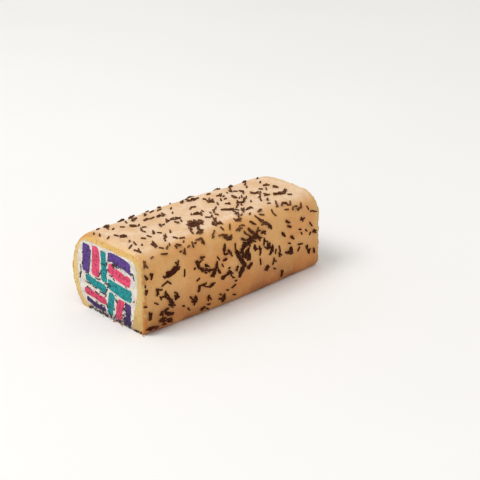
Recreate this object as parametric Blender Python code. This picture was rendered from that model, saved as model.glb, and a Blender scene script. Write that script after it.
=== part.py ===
"""A long sponge roll cake, cut straight across at both ends, as it lies on a table.

A sheet of pale sponge is wrapped round a pinwheel of purple, pink and teal sponge strips bedded in
cream. Dark sugar sprinkles are pressed into the baked skin. The roll lies along Y with its near cut
face at -Y, and it rests on Z = 0 on the two feet of the wrap. All sizes are in metres.
"""

import math
import random

import bmesh
import bpy
from mathutils import Matrix, Vector
from mathutils.bvhtree import BVHTree

# Driving dimensions of the whole roll, at its near cut face and at its far one
LENGTH = 0.230
NEAR = {"left": 0.0544, "right": 0.0485, "height": 0.0764}
FAR = {"left": 0.0522, "right": 0.0509, "height": 0.0779}
BULGE = {"left": 0.0014, "right": 0.0057, "height": 0.0019}

# Corner radii of the skin as (width, height), from the bottom left counterclockwise
NEAR_CORNERS = [(0.0181, 0.0322), (0.0059, 0.0054), (0.0133, 0.0140), (0.0270, 0.0440)]
FAR_CORNERS = [(0.0181, 0.0322), (0.0059, 0.0054), (0.0207, 0.0195), (0.0325, 0.0450)]
CORNER_STEPS = [6, 3, 6, 9]
TOP_RUN_STEPS = 4
RIGHT_RUN_STEPS = 3

# The skin rounds over at a cut, then stands a little proud of it before the roll's own line
EDGE_PROUD = 0.0016
EDGE_ROUND = 0.0050
EDGE_FADE_START = 0.012
EDGE_FADE_END = 0.050
EDGE_STATIONS = [0.0, 0.0008, 0.0050, 0.0140, 0.0300, 0.0600]

# The inner face of the wrap at the near cut
CORE_LEFT = -0.0468
CORE_RIGHT = 0.0415
CORE_TOP = 0.0700
CORE_CORNER_RADII = {
    "bottom_left": (0.0162, 0.0268),
    "top_right": (0.0086, 0.0124),
    "top_left": (0.0105, 0.0239),
}
CORE_CORNER_STEPS = {"bottom_left": 6, "top_right": 4, "top_left": 5}

# The wrap's two feet: its left end stops short under the filling, and its right end slopes down to
# the table
FOOT_LEFT_X = -0.0306
FOOT_LEFT_HEIGHT = 0.0038
FOOT_RIGHT_X = 0.0330
FOOT_RIGHT_SLOPE_TOP = 0.0290
CREAM_BOTTOM = [(FOOT_LEFT_X, 0.0022), (-0.0080, 0.0030), (-0.0030, 0.0006), (FOOT_RIGHT_X, 0.0006)]

# Touching pieces keep this gap, and a cutter runs past the cut faces by this much
GAP = 0.0003
OVERRUN = 0.005
CORE_STATIONS = [0.0, 0.5, 1.0]

# Strips of coloured sponge at the near cut: colour, both ends of the centre line, how far its middle
# bows to the right of the way from start to end, and the thickness at five places along it
STRIPS = {
    "strip_top_left_purple": (
        "purple", (-0.0316, 0.0665), (-0.0348, 0.0378), -0.0005,
        (0.0096, 0.0106, 0.0112, 0.0108, 0.0094),
    ),
    "strip_top_left_pink": (
        "pink", (-0.0180, 0.0673), (-0.0206, 0.0376), -0.0005,
        (0.0104, 0.0102, 0.0107, 0.0104, 0.0096),
    ),
    "strip_top_left_teal": (
        "teal", (-0.0067, 0.0667), (-0.0072, 0.0362), -0.0002,
        (0.0085, 0.0073, 0.0084, 0.0084, 0.0080),
    ),
    "strip_top_right_purple": (
        "purple", (-0.0003, 0.0623), (0.0319, 0.0598), -0.0016,
        (0.0096, 0.0090, 0.0098, 0.0104, 0.0112),
    ),
    "strip_top_right_pink": (
        "pink", (-0.0003, 0.0520), (0.0315, 0.0446), 0.0010,
        (0.0092, 0.0106, 0.0098, 0.0109, 0.0066),
    ),
    "strip_top_right_teal": (
        "teal", (-0.0012, 0.0360), (0.0319, 0.0324), 0.0011,
        (0.0107, 0.0108, 0.0119, 0.0125, 0.0130),
    ),
    "strip_bottom_right_teal": (
        "teal", (0.0049, 0.0266), (0.0003, 0.0044), 0.0,
        (0.0076, 0.0081, 0.0076, 0.0070, 0.0068),
    ),
    "strip_bottom_right_pink": (
        "pink", (0.0172, 0.0241), (0.0126, 0.0012), 0.0013,
        (0.0103, 0.0095, 0.0091, 0.0072, 0.0050),
    ),
    "strip_bottom_right_purple": (
        "purple", (0.0286, 0.0236), (0.0246, 0.0016), -0.0013,
        (0.0054, 0.0082, 0.0056, 0.0118, 0.0116),
    ),
    "strip_bottom_left_teal": (
        "teal", (-0.0352, 0.0334), (-0.0045, 0.0259), -0.0005,
        (0.0042, 0.0078, 0.0076, 0.0092, 0.0040),
    ),
    "strip_bottom_left_pink": (
        "pink", (-0.0379, 0.0178), (-0.0050, 0.0146), 0.0,
        (0.0052, 0.0078, 0.0073, 0.0074, 0.0042),
    ),
    "strip_bottom_left_purple": (
        "purple", (-0.0350, 0.0104), (-0.0065, 0.0084), 0.0014,
        (0.0040, 0.0056, 0.0058, 0.0034, 0.0020),
    ),
}
STRIP_CORNER_CUT = 0.0009

# Sprinkles: short rods pressed into the skin a little deeper than half way
SPRINKLE_COUNT = 340
SPRINKLE_RADIUS = 0.00078
SPRINKLE_LENGTHS = (0.0050, 0.0078)
SPRINKLE_SUNK = 0.00012
SPRINKLE_SIDES = 5
SPRINKLE_SHOULDER = 0.40
SPRINKLE_END_CLEARANCE = 0.007
SPRINKLE_LOWEST = 0.0110
SPRINKLE_SPACING = 0.0080
SPRINKLE_DRAWS = 14
SPRINKLE_SEED = 41
SKIN_ANGLES = (-math.pi / 4, math.pi * 5 / 4)
SKIN_VIEW_HEIGHT = 0.038
SKIN_VIEW_DISTANCE = 0.150

# Faces that meet at less than this are shaded as one round surface
SMOOTH_BELOW = math.radians(35)

# Linear base colour and roughness of each material
FINISHES = {
    "sponge_skin": ((0.70, 0.40, 0.17), 0.80),
    "cream": ((0.80, 0.75, 0.70), 0.55),
    "purple": ((0.11, 0.055, 0.24), 0.90),
    "pink": ((0.72, 0.08, 0.17), 0.90),
    "teal": ((0.03, 0.27, 0.28), 0.90),
}


def clear_scene():
    for obj in list(bpy.data.objects):
        bpy.data.objects.remove(obj, do_unlink=True)


def new_collection(name):
    collection = bpy.data.collections.new(name)
    bpy.context.scene.collection.children.link(collection)
    return collection


def new_material(name):
    colour, roughness = FINISHES[name]
    material = bpy.data.materials.new(name)
    material.use_nodes = True
    shader = material.node_tree.nodes["Principled BSDF"]
    shader.inputs["Base Color"].default_value = (*colour, 1.0)
    shader.inputs["Roughness"].default_value = roughness
    shader.inputs["Metallic"].default_value = 0.0
    return material


def mix(near, far, share):
    return near + (far - near) * share


def smooth_step(value, low, high):
    share = min(1.0, max(0.0, (value - low) / (high - low)))
    return share * share * (3 - 2 * share)


def arc(centre, radii, start, end, steps):
    """Points on an ellipse from one angle to another, in degrees counterclockwise from +X."""
    points = []
    for step in range(steps + 1):
        angle = math.radians(mix(start, end, step / steps))
        points.append((centre[0] + radii[0] * math.cos(angle), centre[1] + radii[1] * math.sin(angle)))
    return points


def straight(start, end, steps):
    """The points between two others, without either."""
    shares = [step / steps for step in range(1, steps)]
    return [(mix(start[0], end[0], share), mix(start[1], end[1], share)) for share in shares]


def section_size(side, share):
    """Half width to one side, or height, of the roll at a share of the way along it."""
    swell = 1 - (2 * share - 1) ** 2
    return mix(NEAR[side], FAR[side], share) + BULGE[side] * swell


def edge_offset(distance):
    """How far the skin stands out at a distance from the nearer cut face."""
    rise = 1 - min(1.0, distance / EDGE_ROUND)
    return EDGE_PROUD * (math.sqrt(1 - rise * rise) - smooth_step(distance, EDGE_FADE_START, EDGE_FADE_END))


def skin_outline(y):
    """The skin's outline in X and Z where it passes Y, counterclockwise from the left."""
    share = y / LENGTH + 0.5
    proud = edge_offset(LENGTH / 2 - abs(y))
    left = -section_size("left", share) - proud
    right = section_size("right", share) + proud
    top = section_size("height", share) + proud
    radii = []
    for near, far in zip(NEAR_CORNERS, FAR_CORNERS):
        radii.append((mix(near[0], far[0], share), mix(near[1], far[1], share)))
    low_left, low_right, high_right, high_left = radii
    outline = arc((left + low_left[0], low_left[1]), low_left, 180, 270, CORNER_STEPS[0])
    outline += arc((right - low_right[0], low_right[1]), low_right, 270, 360, CORNER_STEPS[1])
    side_top = (right, top - high_right[1])
    outline += straight(outline[-1], side_top, RIGHT_RUN_STEPS)
    outline += arc((right - high_right[0], top - high_right[1]), high_right, 0, 90, CORNER_STEPS[2])
    roof_left = (left + high_left[0], top)
    outline += straight(outline[-1], roof_left, TOP_RUN_STEPS)
    outline += arc((left + high_left[0], top - high_left[1]), high_left, 90, 180, CORNER_STEPS[3])
    return outline


def core_outline(bottom):
    """The inside of the wrap at the near cut, closed below by the given points from left to right."""
    low_left = CORE_CORNER_RADII["bottom_left"]
    high_right = CORE_CORNER_RADII["top_right"]
    high_left = CORE_CORNER_RADII["top_left"]
    steps = CORE_CORNER_STEPS
    low_left_centre = (CORE_LEFT + low_left[0], FOOT_LEFT_HEIGHT + low_left[1])
    high_right_centre = (CORE_RIGHT - high_right[0], CORE_TOP - high_right[1])
    high_left_centre = (CORE_LEFT + high_left[0], CORE_TOP - high_left[1])
    outline = arc(low_left_centre, low_left, 180, 270, steps["bottom_left"])
    outline += bottom
    outline.append((CORE_RIGHT, FOOT_RIGHT_SLOPE_TOP))
    outline += arc(high_right_centre, high_right, 0, 90, steps["top_right"])
    outline += arc(high_left_centre, high_left, 90, 180, steps["top_left"])
    return outline


def grown(outline, distance):
    """The outline moved outwards by a distance, or inwards where it is negative."""
    moved = []
    for index, point in enumerate(outline):
        here = Vector(point)
        before = (here - Vector(outline[index - 1])).normalized()
        after = (Vector(outline[(index + 1) % len(outline)]) - here).normalized()
        first = Vector((before.y, -before.x))
        second = Vector((after.y, -after.x))
        moved.append(here + (first + second) * (distance / (1 + first.dot(second))))
    return [(point.x, point.y) for point in moved]


def strip_outline(start, end, bow, thicknesses):
    """A band along a bowed centre line, with its four corners cut, counterclockwise."""
    start, end = Vector(start), Vector(end)
    along = (end - start).normalized()
    right = Vector((along.y, -along.x))
    last = len(thicknesses) - 1
    right_side, left_side = [], []
    for index, thickness in enumerate(thicknesses):
        share = index / last
        centre = start.lerp(end, share) + right * (bow * 4 * share * (1 - share))
        right_side.append(centre + right * thickness / 2)
        left_side.append(centre - right * thickness / 2)
    cut_along = along * STRIP_CORNER_CUT
    cut_across = right * STRIP_CORNER_CUT
    outline = [right_side[0] - cut_across, right_side[0] + cut_along]
    outline += right_side[1:-1]
    outline += [right_side[-1] - cut_along, right_side[-1] - cut_across]
    outline += [left_side[-1] + cut_across, left_side[-1] - cut_along]
    outline += reversed(left_side[1:-1])
    outline += [left_side[0] + cut_along, left_side[0] + cut_across]
    return [(point.x, point.y) for point in outline]


def swollen(point, share):
    """A point of the near section, carried to its place at a share of the way along the roll."""
    side = "left" if point[0] < 0 else "right"
    wider = section_size(side, share) / NEAR[side]
    taller = section_size("height", share) / NEAR["height"]
    return point[0] * wider, point[1] * taller


def core_rings(outline, overrun=0.0):
    """The outline at each station along the filling, and again past both cut faces for a cutter."""
    rings = []
    for share in CORE_STATIONS:
        y = (share - 0.5) * LENGTH
        rings.append([(x, y, z) for x, z in (swollen(point, share) for point in outline)])
    if overrun:
        rings.insert(0, [(x, y - overrun, z) for x, y, z in rings[0]])
        rings.append([(x, y + overrun, z) for x, y, z in rings[-1]])
    return rings


def loft(name, rings, collection):
    """A closed solid through rings of as many points each."""
    model = bmesh.new()
    loops = [[model.verts.new(point) for point in ring] for ring in rings]
    for near, far in zip(loops, loops[1:]):
        for index in range(len(near)):
            model.faces.new((near[index], near[index - 1], far[index - 1], far[index]))
    model.faces.new(loops[0])
    model.faces.new(loops[-1])
    bmesh.ops.recalc_face_normals(model, faces=model.faces)
    mesh = bpy.data.meshes.new(name)
    model.to_mesh(mesh)
    model.free()
    obj = bpy.data.objects.new(name, mesh)
    collection.objects.link(obj)
    return obj


def make_cutter(obj):
    obj.hide_render = True
    obj.display_type = "WIRE"


def add_boolean(obj, name, operation, cutter=None, collection=None):
    modifier = obj.modifiers.new(name, "BOOLEAN")
    modifier.operation = operation
    modifier.solver = "EXACT"
    if cutter:
        modifier.object = cutter
    else:
        modifier.operand_type = "COLLECTION"
        modifier.collection = collection


def apply_modifiers(obj):
    graph = bpy.context.evaluated_depsgraph_get()
    mesh = bpy.data.meshes.new_from_object(obj.evaluated_get(graph))
    obj.modifiers.clear()
    obj.data = mesh


def add_skin_and_pocket(parts, cutters):
    """The wrap: the roll's outer form, hollowed by its pocket for the filling."""
    near = [-LENGTH / 2 + distance for distance in EDGE_STATIONS]
    stations = near + [0.0] + [-y for y in reversed(near)]
    rings = [[(x, y, z) for x, z in skin_outline(y)] for y in stations]
    wrap = loft("sponge_wrap", rings, parts)
    pocket_bottom = [(FOOT_LEFT_X, -OVERRUN), (FOOT_RIGHT_X, -OVERRUN), (FOOT_RIGHT_X, 0.0)]
    pocket = loft("pocket_cutter", core_rings(core_outline(pocket_bottom), OVERRUN), cutters)
    make_cutter(pocket)
    add_boolean(wrap, "hollow", "DIFFERENCE", cutter=pocket)
    apply_modifiers(wrap)
    bpy.data.objects.remove(pocket, do_unlink=True)
    return wrap


def add_filling(parts, cutters):
    """The cream, with a channel for each strip, and the strips themselves."""
    cream = loft("cream_filling", core_rings(grown(core_outline(CREAM_BOTTOM), -GAP)), parts)
    strips = []
    for name, (colour, start, end, bow, thicknesses) in STRIPS.items():
        outline = strip_outline(start, end, bow, thicknesses)
        strip = loft(name, core_rings(outline), parts)
        strip["colour"] = colour
        strips.append(strip)
        channel = loft(name + "_channel", core_rings(grown(outline, GAP), OVERRUN), cutters)
        make_cutter(channel)
    add_boolean(cream, "channels", "DIFFERENCE", collection=cutters)
    return cream, strips


def sprinkle_mesh():
    """A rod with blunt points along Z, one metre long and one metre in radius, from a coarse ball."""
    model = bmesh.new()
    bmesh.ops.create_uvsphere(model, u_segments=SPRINKLE_SIDES, v_segments=3, radius=0.5)
    for vertex in model.verts:
        flat = Vector((vertex.co.x, vertex.co.y))
        if flat.length < abs(vertex.co.z):
            continue
        flat.normalize()
        vertex.co = (flat.x, flat.y, math.copysign(SPRINKLE_SHOULDER, vertex.co.z))
    mesh = bpy.data.meshes.new("sprinkle")
    model.to_mesh(mesh)
    model.free()
    return mesh


def skin_point(tree, y, angle):
    """Where the skin is met from outside at an angle round the roll, and its outward normal."""
    centre = Vector((0.0, y, SKIN_VIEW_HEIGHT))
    outwards = Vector((math.cos(angle), 0.0, math.sin(angle)))
    place, normal, _, _ = tree.ray_cast(centre + outwards * SKIN_VIEW_DISTANCE, -outwards)
    return place, normal


def sprinkle_places(wrap):
    """Evenly spread places on the skin: of several draws each time, the one farthest from the rest."""
    draw = random.Random(SPRINKLE_SEED)
    tree = BVHTree.FromObject(wrap, bpy.context.evaluated_depsgraph_get())
    reach = LENGTH / 2 - SPRINKLE_END_CLEARANCE
    places = []
    for _ in range(SPRINKLE_COUNT):
        best, best_distance = None, SPRINKLE_SPACING
        for _ in range(SPRINKLE_DRAWS):
            y = draw.uniform(-reach, reach)
            angle = draw.uniform(*SKIN_ANGLES)
            place, normal = skin_point(tree, y, angle)
            if place is None or place.z < SPRINKLE_LOWEST:
                continue
            distance = min([(place - other[0]).length for other in places], default=1.0)
            if distance > best_distance:
                best, best_distance = (place, normal), distance
        if best:
            places.append(best)
    return places, draw


def add_sprinkles(wrap):
    """Fuses the sprinkles to the wrap."""
    collection = new_collection("sprinkles")
    mesh = sprinkle_mesh()
    places, draw = sprinkle_places(wrap)
    for index, (place, normal) in enumerate(places):
        length = draw.uniform(*SPRINKLE_LENGTHS)
        upright = normal.to_track_quat("X", "Z").to_matrix().to_4x4()
        turn = Matrix.Rotation(draw.uniform(0, math.pi), 4, "X")
        size = Matrix.Diagonal((SPRINKLE_RADIUS, SPRINKLE_RADIUS, length, 1.0))
        obj = bpy.data.objects.new(f"sprinkle_{index}", mesh.copy())
        obj.data.transform(Matrix.Translation(place - normal * SPRINKLE_SUNK) @ upright @ turn @ size)
        collection.objects.link(obj)
    add_boolean(wrap, "fuse_sprinkles", "UNION", collection=collection)
    apply_modifiers(wrap)
    for obj in list(collection.objects):
        bpy.data.objects.remove(obj, do_unlink=True)
    bpy.data.collections.remove(collection)


def main():
    clear_scene()
    parts = new_collection("swiss_roll_cake")
    cutters = new_collection("cutters")
    materials = {name: new_material(name) for name in FINISHES}
    wrap = add_skin_and_pocket(parts, cutters)
    add_sprinkles(wrap)
    wrap.data.materials.append(materials["sponge_skin"])
    wrap.data.shade_smooth()
    wrap.data.set_sharp_from_angle(angle=SMOOTH_BELOW)
    cream, strips = add_filling(parts, cutters)
    cream.data.materials.append(materials["cream"])
    for strip in strips:
        strip.data.materials.append(materials[strip["colour"]])


main()
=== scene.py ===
"""The finished look of a long sponge roll cake: a pale sponge sheet wrapped round strips of purple, pink
and teal sponge in cream, with dark sprinkles on its skin. Metres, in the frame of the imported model."""

import math
import random

import bmesh
import bpy
import numpy as np
from mathutils import Matrix, Vector, noise
from mathutils.bvhtree import BVHTree


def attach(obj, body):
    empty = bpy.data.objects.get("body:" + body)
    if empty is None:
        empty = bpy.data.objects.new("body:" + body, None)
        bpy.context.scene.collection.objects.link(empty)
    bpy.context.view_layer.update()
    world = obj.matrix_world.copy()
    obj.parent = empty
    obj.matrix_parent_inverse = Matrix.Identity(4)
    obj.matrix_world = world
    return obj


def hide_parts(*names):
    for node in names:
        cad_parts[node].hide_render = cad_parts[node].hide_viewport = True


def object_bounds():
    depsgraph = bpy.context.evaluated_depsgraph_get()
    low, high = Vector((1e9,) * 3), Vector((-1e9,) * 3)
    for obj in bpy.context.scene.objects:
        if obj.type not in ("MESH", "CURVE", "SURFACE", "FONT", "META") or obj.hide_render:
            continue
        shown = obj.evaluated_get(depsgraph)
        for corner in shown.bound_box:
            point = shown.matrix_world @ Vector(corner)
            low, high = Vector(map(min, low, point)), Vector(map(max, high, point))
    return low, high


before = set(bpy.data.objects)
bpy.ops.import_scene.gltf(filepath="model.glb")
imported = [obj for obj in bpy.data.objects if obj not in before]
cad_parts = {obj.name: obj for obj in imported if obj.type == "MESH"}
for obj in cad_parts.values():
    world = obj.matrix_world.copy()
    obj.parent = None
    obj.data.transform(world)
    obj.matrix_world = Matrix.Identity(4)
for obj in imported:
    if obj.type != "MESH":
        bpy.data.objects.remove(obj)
cad_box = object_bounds()

# Strips of coloured sponge: twelve long bars in four groups of three, cut from thin sponge sheets
# dyed purple, pink and teal. They are laid in cream from one cut of the roll to the other, so that
# both cuts show their ends, with open pores and torn edges.
LENGTH = round(cad_box[1][1] - cad_box[0][1], 4)
# The roll's half widths and height at the near and the far cut, and how much more they are in the middle
NEAR = {"left": 0.0544, "right": 0.0485, "height": 0.0764}
FAR = {"left": 0.0502, "right": 0.0509, "height": 0.0775}
BULGE = {"left": 0.0014, "right": 0.0057, "height": 0.0019}
BAR_ROWS_FROM_CUT = [0.0, 0.0005, 0.0020, 0.0200]
BAR_ROWS = BAR_ROWS_FROM_CUT + [LENGTH / 2] + [LENGTH - inset for inset in BAR_ROWS_FROM_CUT[::-1]]
BAR_CELL = 0.00050
BAR_END_ROUND = 0.0015
BAR_END_FULLNESS = 0.7
BAR_END_RAG = 1.4
BAR_RIM_DROP = 0.00030
BAR_RIM_RELIEF = 0.4
OUTERMOST = 0.4999
# Two places closer than this are the same
SAME = 1e-5
# Sizes and depths of the waves in a torn edge, and how little they change along the roll
TEAR_DEPTHS = [(0.0070, 0.00050), (0.0022, 0.00042), (0.0010, 0.00022)]
TEAR_ALONG = 0.08
# How far apart in the noise two bars lie, the two sides of a bar, and its ends from its sides
BAR_SEED = 20
SIDE_SEED = 3
END_SEED = 9
# The power by which the raggedness of a bar's ends fades towards its middle
BAR_END_ONLY = 5
# Each bar's two ends in the near cut, how far it bows to the right of the way, and its thickness at each
# of the shares THICKNESS_AT of its length
BARS = {
    "top_left_purple": ((-0.0315, 0.0667), (-0.035, 0.0366), -0.0004, (0.0094, 0.011, 0.012, 0.011, 0.009)),
    "top_left_pink": ((-0.0176, 0.068), (-0.0206, 0.0366), -0.0006, (0.009, 0.0106, 0.0113, 0.0113, 0.0082)),
    "top_left_teal": ((-0.0065, 0.0668), (-0.007, 0.0348), -0.0002, (0.0083, 0.0078, 0.0083, 0.0088, 0.007)),
    "top_right_purple": (
        (-0.0003, 0.0632), (0.0328, 0.06), -0.0012, (0.008, 0.0104, 0.0115, 0.0115, 0.0118),
    ),
    "top_right_pink": ((0.0, 0.0524), (0.0318, 0.0466), 0.0014, (0.0094, 0.0112, 0.0116, 0.0114, 0.0092)),
    "top_right_teal": ((-0.0014, 0.036), (0.0322, 0.0326), 0.0008, (0.0096, 0.011, 0.0122, 0.0128, 0.012)),
    "bottom_right_teal": (
        (0.0043, 0.0276), (-0.0006, 0.0036), 0.0003, (0.0066, 0.0088, 0.009, 0.0078, 0.0056),
    ),
    "bottom_right_pink": (
        (0.0186, 0.025), (0.0128, 0.0012), 0.0022, (0.0076, 0.009, 0.0096, 0.0088, 0.0052),
    ),
    "bottom_right_purple": ((0.028, 0.0248), (0.0246, 0.0016), 0.0, (0.007, 0.0082, 0.0086, 0.0108, 0.0108)),
    "bottom_left_teal": ((-0.0356, 0.032), (-0.0046, 0.0274), 0.0, (0.005, 0.0078, 0.008, 0.0094, 0.006)),
    "bottom_left_pink": ((-0.0383, 0.018), (-0.005, 0.0152), 0.0, (0.005, 0.008, 0.0073, 0.0077, 0.0056)),
    "bottom_left_purple": (
        (-0.0353, 0.01), (-0.0062, 0.0072), 0.0019, (0.0044, 0.0062, 0.0056, 0.004, 0.002),
    ),
}
# Nicks torn out of a bar's edge at the near cut: place along it, side (1 is right of the way), depth, width
NICKS = {
    "top_right_purple": [(0.2, 1, 0.0014, 0.0044), (0.36, 1, 0.0013, 0.0036), (0.64, 1, 0.0022, 0.0034)],
    "top_right_pink": [(0.3, -1, 0.0012, 0.003), (0.74, -1, 0.0015, 0.0036), (0.1, 1, 0.0012, 0.003)],
    "top_left_teal": [(0.3, -1, 0.0008, 0.0016), (0.62, 1, 0.0008, 0.002)],
    "bottom_right_purple": [(0.52, 1, 0.0014, 0.003), (0.28, 1, 0.0008, 0.002)],
    "bottom_left_teal": [(0.55, -1, 0.001, 0.0026), (0.15, 1, 0.001, 0.0022)],
    "bottom_left_pink": [(0.2, -1, 0.001, 0.0018), (0.45, -1, 0.0009, 0.0016), (0.68, -1, 0.001, 0.0016)],
}
NICK_REACH = 0.012
THICKNESS_AT = (0.0, 0.10, 0.5, 0.90, 1.0)
# A cutter for the cream runs this much past both cuts
PAST_CUT = 1.04
CRUMB_RELIEF = [(0.0030, 0.0007), (0.0014, 0.0006)]
# The dyes as seen on a screen, and how much painted shade each has in the lower strips
DYES = {"purple": (84, 52, 128), "pink": (220, 67, 106), "teal": (13, 137, 141)}
LOW_PAINTED_SHADE = {"purple": 0.85, "pink": 0.28, "teal": 0.24}
LOW_PAINTED_SHADE_HEIGHTS = (0.030, 0.010)
# How light a dye is on the lumps of the crumb and between them, and how dark its painted shade is in the
# pores and low down
LUMP_LIGHT = 1.07
LUMP_LIFT = 8
BETWEEN_LIGHT = 0.86
PORE_SHADE_LIGHT = 0.40
LOW_PAINTED_SHADE_LIGHT = 0.62
DYED_ROUGHNESS = 0.88
DYED_CRUMB = 0.0026
DYED_LUMPS = (0.36, 0.64)
DYED_BUMP = (0.35, 0.0007)
# Where the crumb's noise turns to a pore: near the middle of a cell, and only in a dip of the lumps
PORE_EDGE = (0.30, 0.12)
DIP_EDGE = (0.56, 0.44)
PORE_SPACING = 0.8


def roll_size(side, share):
    """Half width to one side, or height, of the roll at a share of the way along it."""
    swell = 1 - (2 * share - 1) ** 2
    return NEAR[side] + (FAR[side] - NEAR[side]) * share + BULGE[side] * swell


def carried(x, z, y):
    """Where a point of the near cut lies at Y, as the roll swells a little towards its middle."""
    share = y / LENGTH + 0.5
    left, right, higher = (roll_size(side, share) / NEAR[side] for side in ("left", "right", "height"))
    return x * np.where(x < 0, left, right), z * higher


def turn_to(obj):
    """Leaves one object selected and active."""
    bpy.ops.object.select_all(action="DESELECT")
    obj.select_set(True)
    bpy.context.view_layer.objects.active = obj


def sponge_block(name, columns, layers, row_cuts):
    """A block one metre each way, of cells: a grid stood up as the near cut, extruded and cut into rows."""
    bpy.ops.object.select_all(action="DESELECT")
    bpy.ops.mesh.primitive_grid_add(
        x_subdivisions=columns, y_subdivisions=layers, size=1,
        location=(0.5, 0, 0.5), rotation=(math.pi / 2, 0, 0),
    )
    block = bpy.context.object
    block.name = block.data.name = name
    bpy.ops.object.transform_apply(location=True, rotation=True, scale=True)
    bpy.context.tool_settings.mesh_select_mode = (False, True, False)
    bpy.ops.object.mode_set(mode="EDIT")
    bpy.ops.mesh.select_all(action="SELECT")
    bpy.ops.mesh.extrude_region_move(TRANSFORM_OT_translate={"value": (0, 1, 0)})
    for cuts in row_cuts:
        bpy.ops.mesh.select_all(action="DESELECT")
        model = bmesh.from_edit_mesh(block.data)
        for edge in model.edges:
            first, second = (vertex.co.y for vertex in edge.verts)
            edge.select_set(abs(first - second) > SAME)
        bmesh.update_edit_mesh(block.data)
        bpy.ops.mesh.subdivide(number_cuts=cuts)
    bpy.ops.object.mode_set(mode="OBJECT")
    return block


def cells_of(block):
    """Each vertex's place in the block, from 0 to 1 each way."""
    places = np.empty(len(block.data.vertices) * 3, np.float32)
    block.data.vertices.foreach_get("co", places)
    return places.reshape(-1, 3).astype(float)


def reshape(piece, x, y, z):
    """Moves every vertex to its place and turns the faces outwards."""
    piece.data.vertices.foreach_set("co", np.column_stack([x, y, z]).astype(np.float32).ravel())
    piece.data.update()
    turn_to(piece)
    bpy.ops.object.mode_set(mode="EDIT")
    bpy.ops.mesh.select_all(action="SELECT")
    bpy.ops.mesh.normals_make_consistent(inside=False)
    bpy.ops.object.mode_set(mode="OBJECT")


def weigh(piece, name, weights):
    """Keeps a weight for each vertex under a name."""
    group = piece.vertex_groups.new(name=name)
    for index in np.flatnonzero(weights > 0):
        group.add([int(index)], float(weights[index]), "REPLACE")


def rough_up(piece, group, size, depth, direction="Y"):
    """Raises and sinks the weighed vertices by a cloudy pattern of that size."""
    texture = bpy.data.textures.new(f"{group}_relief", "CLOUDS")
    texture.noise_scale = size
    modifier = piece.modifiers.new("relief", "DISPLACE")
    modifier.texture = texture
    modifier.texture_coords = "GLOBAL"
    modifier.direction = direction
    modifier.vertex_group = group
    modifier.strength = depth
    modifier.mid_level = 0.5
    turn_to(piece)
    bpy.ops.object.modifier_apply(modifier="relief")


def rough_edge(place, y, seed):
    """How far a torn edge stands out at a place along it."""
    spot = Vector((place, y * TEAR_ALONG, 0.0))
    return sum(depth * noise.noise(spot / size + Vector((0, 0, seed))) for size, depth in TEAR_DEPTHS)


def nick_depth(name, side, place, length, y):
    """How deep the nicks are at a place along one edge of a bar."""
    fade = max(0.0, 1 - (y + LENGTH / 2) / NICK_REACH)
    depth = 0.0
    for share, nick_side, deep, wide in NICKS.get(name, []):
        if nick_side == side:
            depth += deep * fade * math.exp(-((place - share * length) / (wide / 2)) ** 2)
    return depth


def bar_point(name, seed, cell, y):
    """The place in the near cut of a cell of a bar, given along it, along the roll and across it."""
    start, end, bow, thicknesses = BARS[name]
    start, end = Vector(start), Vector(end)
    length = (end - start).length
    ahead = (end - start) / length
    right = Vector((ahead.y, -ahead.x))
    share, across = cell[0], 2 * cell[2] - 1
    side = 1 if across > 0 else -1
    half = float(np.interp(share, THICKNESS_AT, thicknesses)) / 2
    from_end = min(share, 1 - share) * length
    rounding = min(BAR_END_ROUND, BAR_END_FULLNESS * half)
    if from_end < rounding:
        half -= rounding - math.sqrt(rounding ** 2 - (rounding - from_end) ** 2)
    half += rough_edge(share * length, y, seed + SIDE_SEED * side)
    half -= nick_depth(name, side, share * length, length, y)
    ragged = (2 * share - 1) ** BAR_END_ONLY * rough_edge(across * half, y, seed + END_SEED) * BAR_END_RAG
    place = share * length + ragged
    return start + ahead * place + right * (bow * 4 * share * (1 - share) + across * half)


def node(tree, kind, inputs, **settings):
    """A shader node with its settings, and each input given by name or number, linked or set."""
    made = tree.nodes.new(kind)
    for name, value in settings.items():
        setattr(made, name, value)
    for name, value in inputs.items():
        if isinstance(value, bpy.types.NodeSocket):
            tree.links.new(value, made.inputs[name])
        else:
            made.inputs[name].default_value = value
    return made


def mixed(tree, factor, first, second):
    """One colour laid over another by a mask."""
    return node(tree, "ShaderNodeMix", {0: factor, 6: first, 7: second}, data_type="RGBA").outputs[2]


def ramped(tree, value, low, high):
    """A soft step from 0 to 1 as a value goes from low to high."""
    ends = {"Value": value, "From Min": low, "From Max": high}
    return node(tree, "ShaderNodeMapRange", ends, interpolation_type="SMOOTHSTEP").outputs["Result"]


def reckon(tree, operation, first, second):
    """One sum done on two numbers or masks."""
    return node(tree, "ShaderNodeMath", {0: first, 1: second}, operation=operation).outputs[0]


def product(tree, first, *others):
    """Numbers or masks multiplied together."""
    for other in others:
        first = reckon(tree, "MULTIPLY", first, other)
    return first


def layered(tree, colour, layers):
    """Colours laid over one another, each by a mask and how much of it shows at most."""
    for mask, share, over in layers:
        colour = mixed(tree, product(tree, mask, share), colour, over)
    return colour


def tint(colour):
    """A linear colour from one as it is seen on a screen, 0 to 255."""
    values = []
    for part in colour:
        part = part / 255
        values.append(part / 12.92 if part <= 0.04045 else ((part + 0.055) / 1.055) ** 2.4)
    return (*values, 1.0)


def shade_of(colour, light, lift=0):
    """A linear colour from a dye made lighter or darker."""
    return tint([min(255, part * light + lift) for part in colour])


def new_group(name, inputs, outputs):
    """An empty shader group with named number inputs and outputs."""
    group = bpy.data.node_groups.new(name, "ShaderNodeTree")
    for socket in inputs:
        group.interface.new_socket(socket, in_out="INPUT", socket_type="NodeSocketFloat")
    for socket in outputs:
        group.interface.new_socket(socket, in_out="OUTPUT", socket_type="NodeSocketFloat")
    return group, group.nodes.new("NodeGroupInput"), group.nodes.new("NodeGroupOutput")


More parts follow.
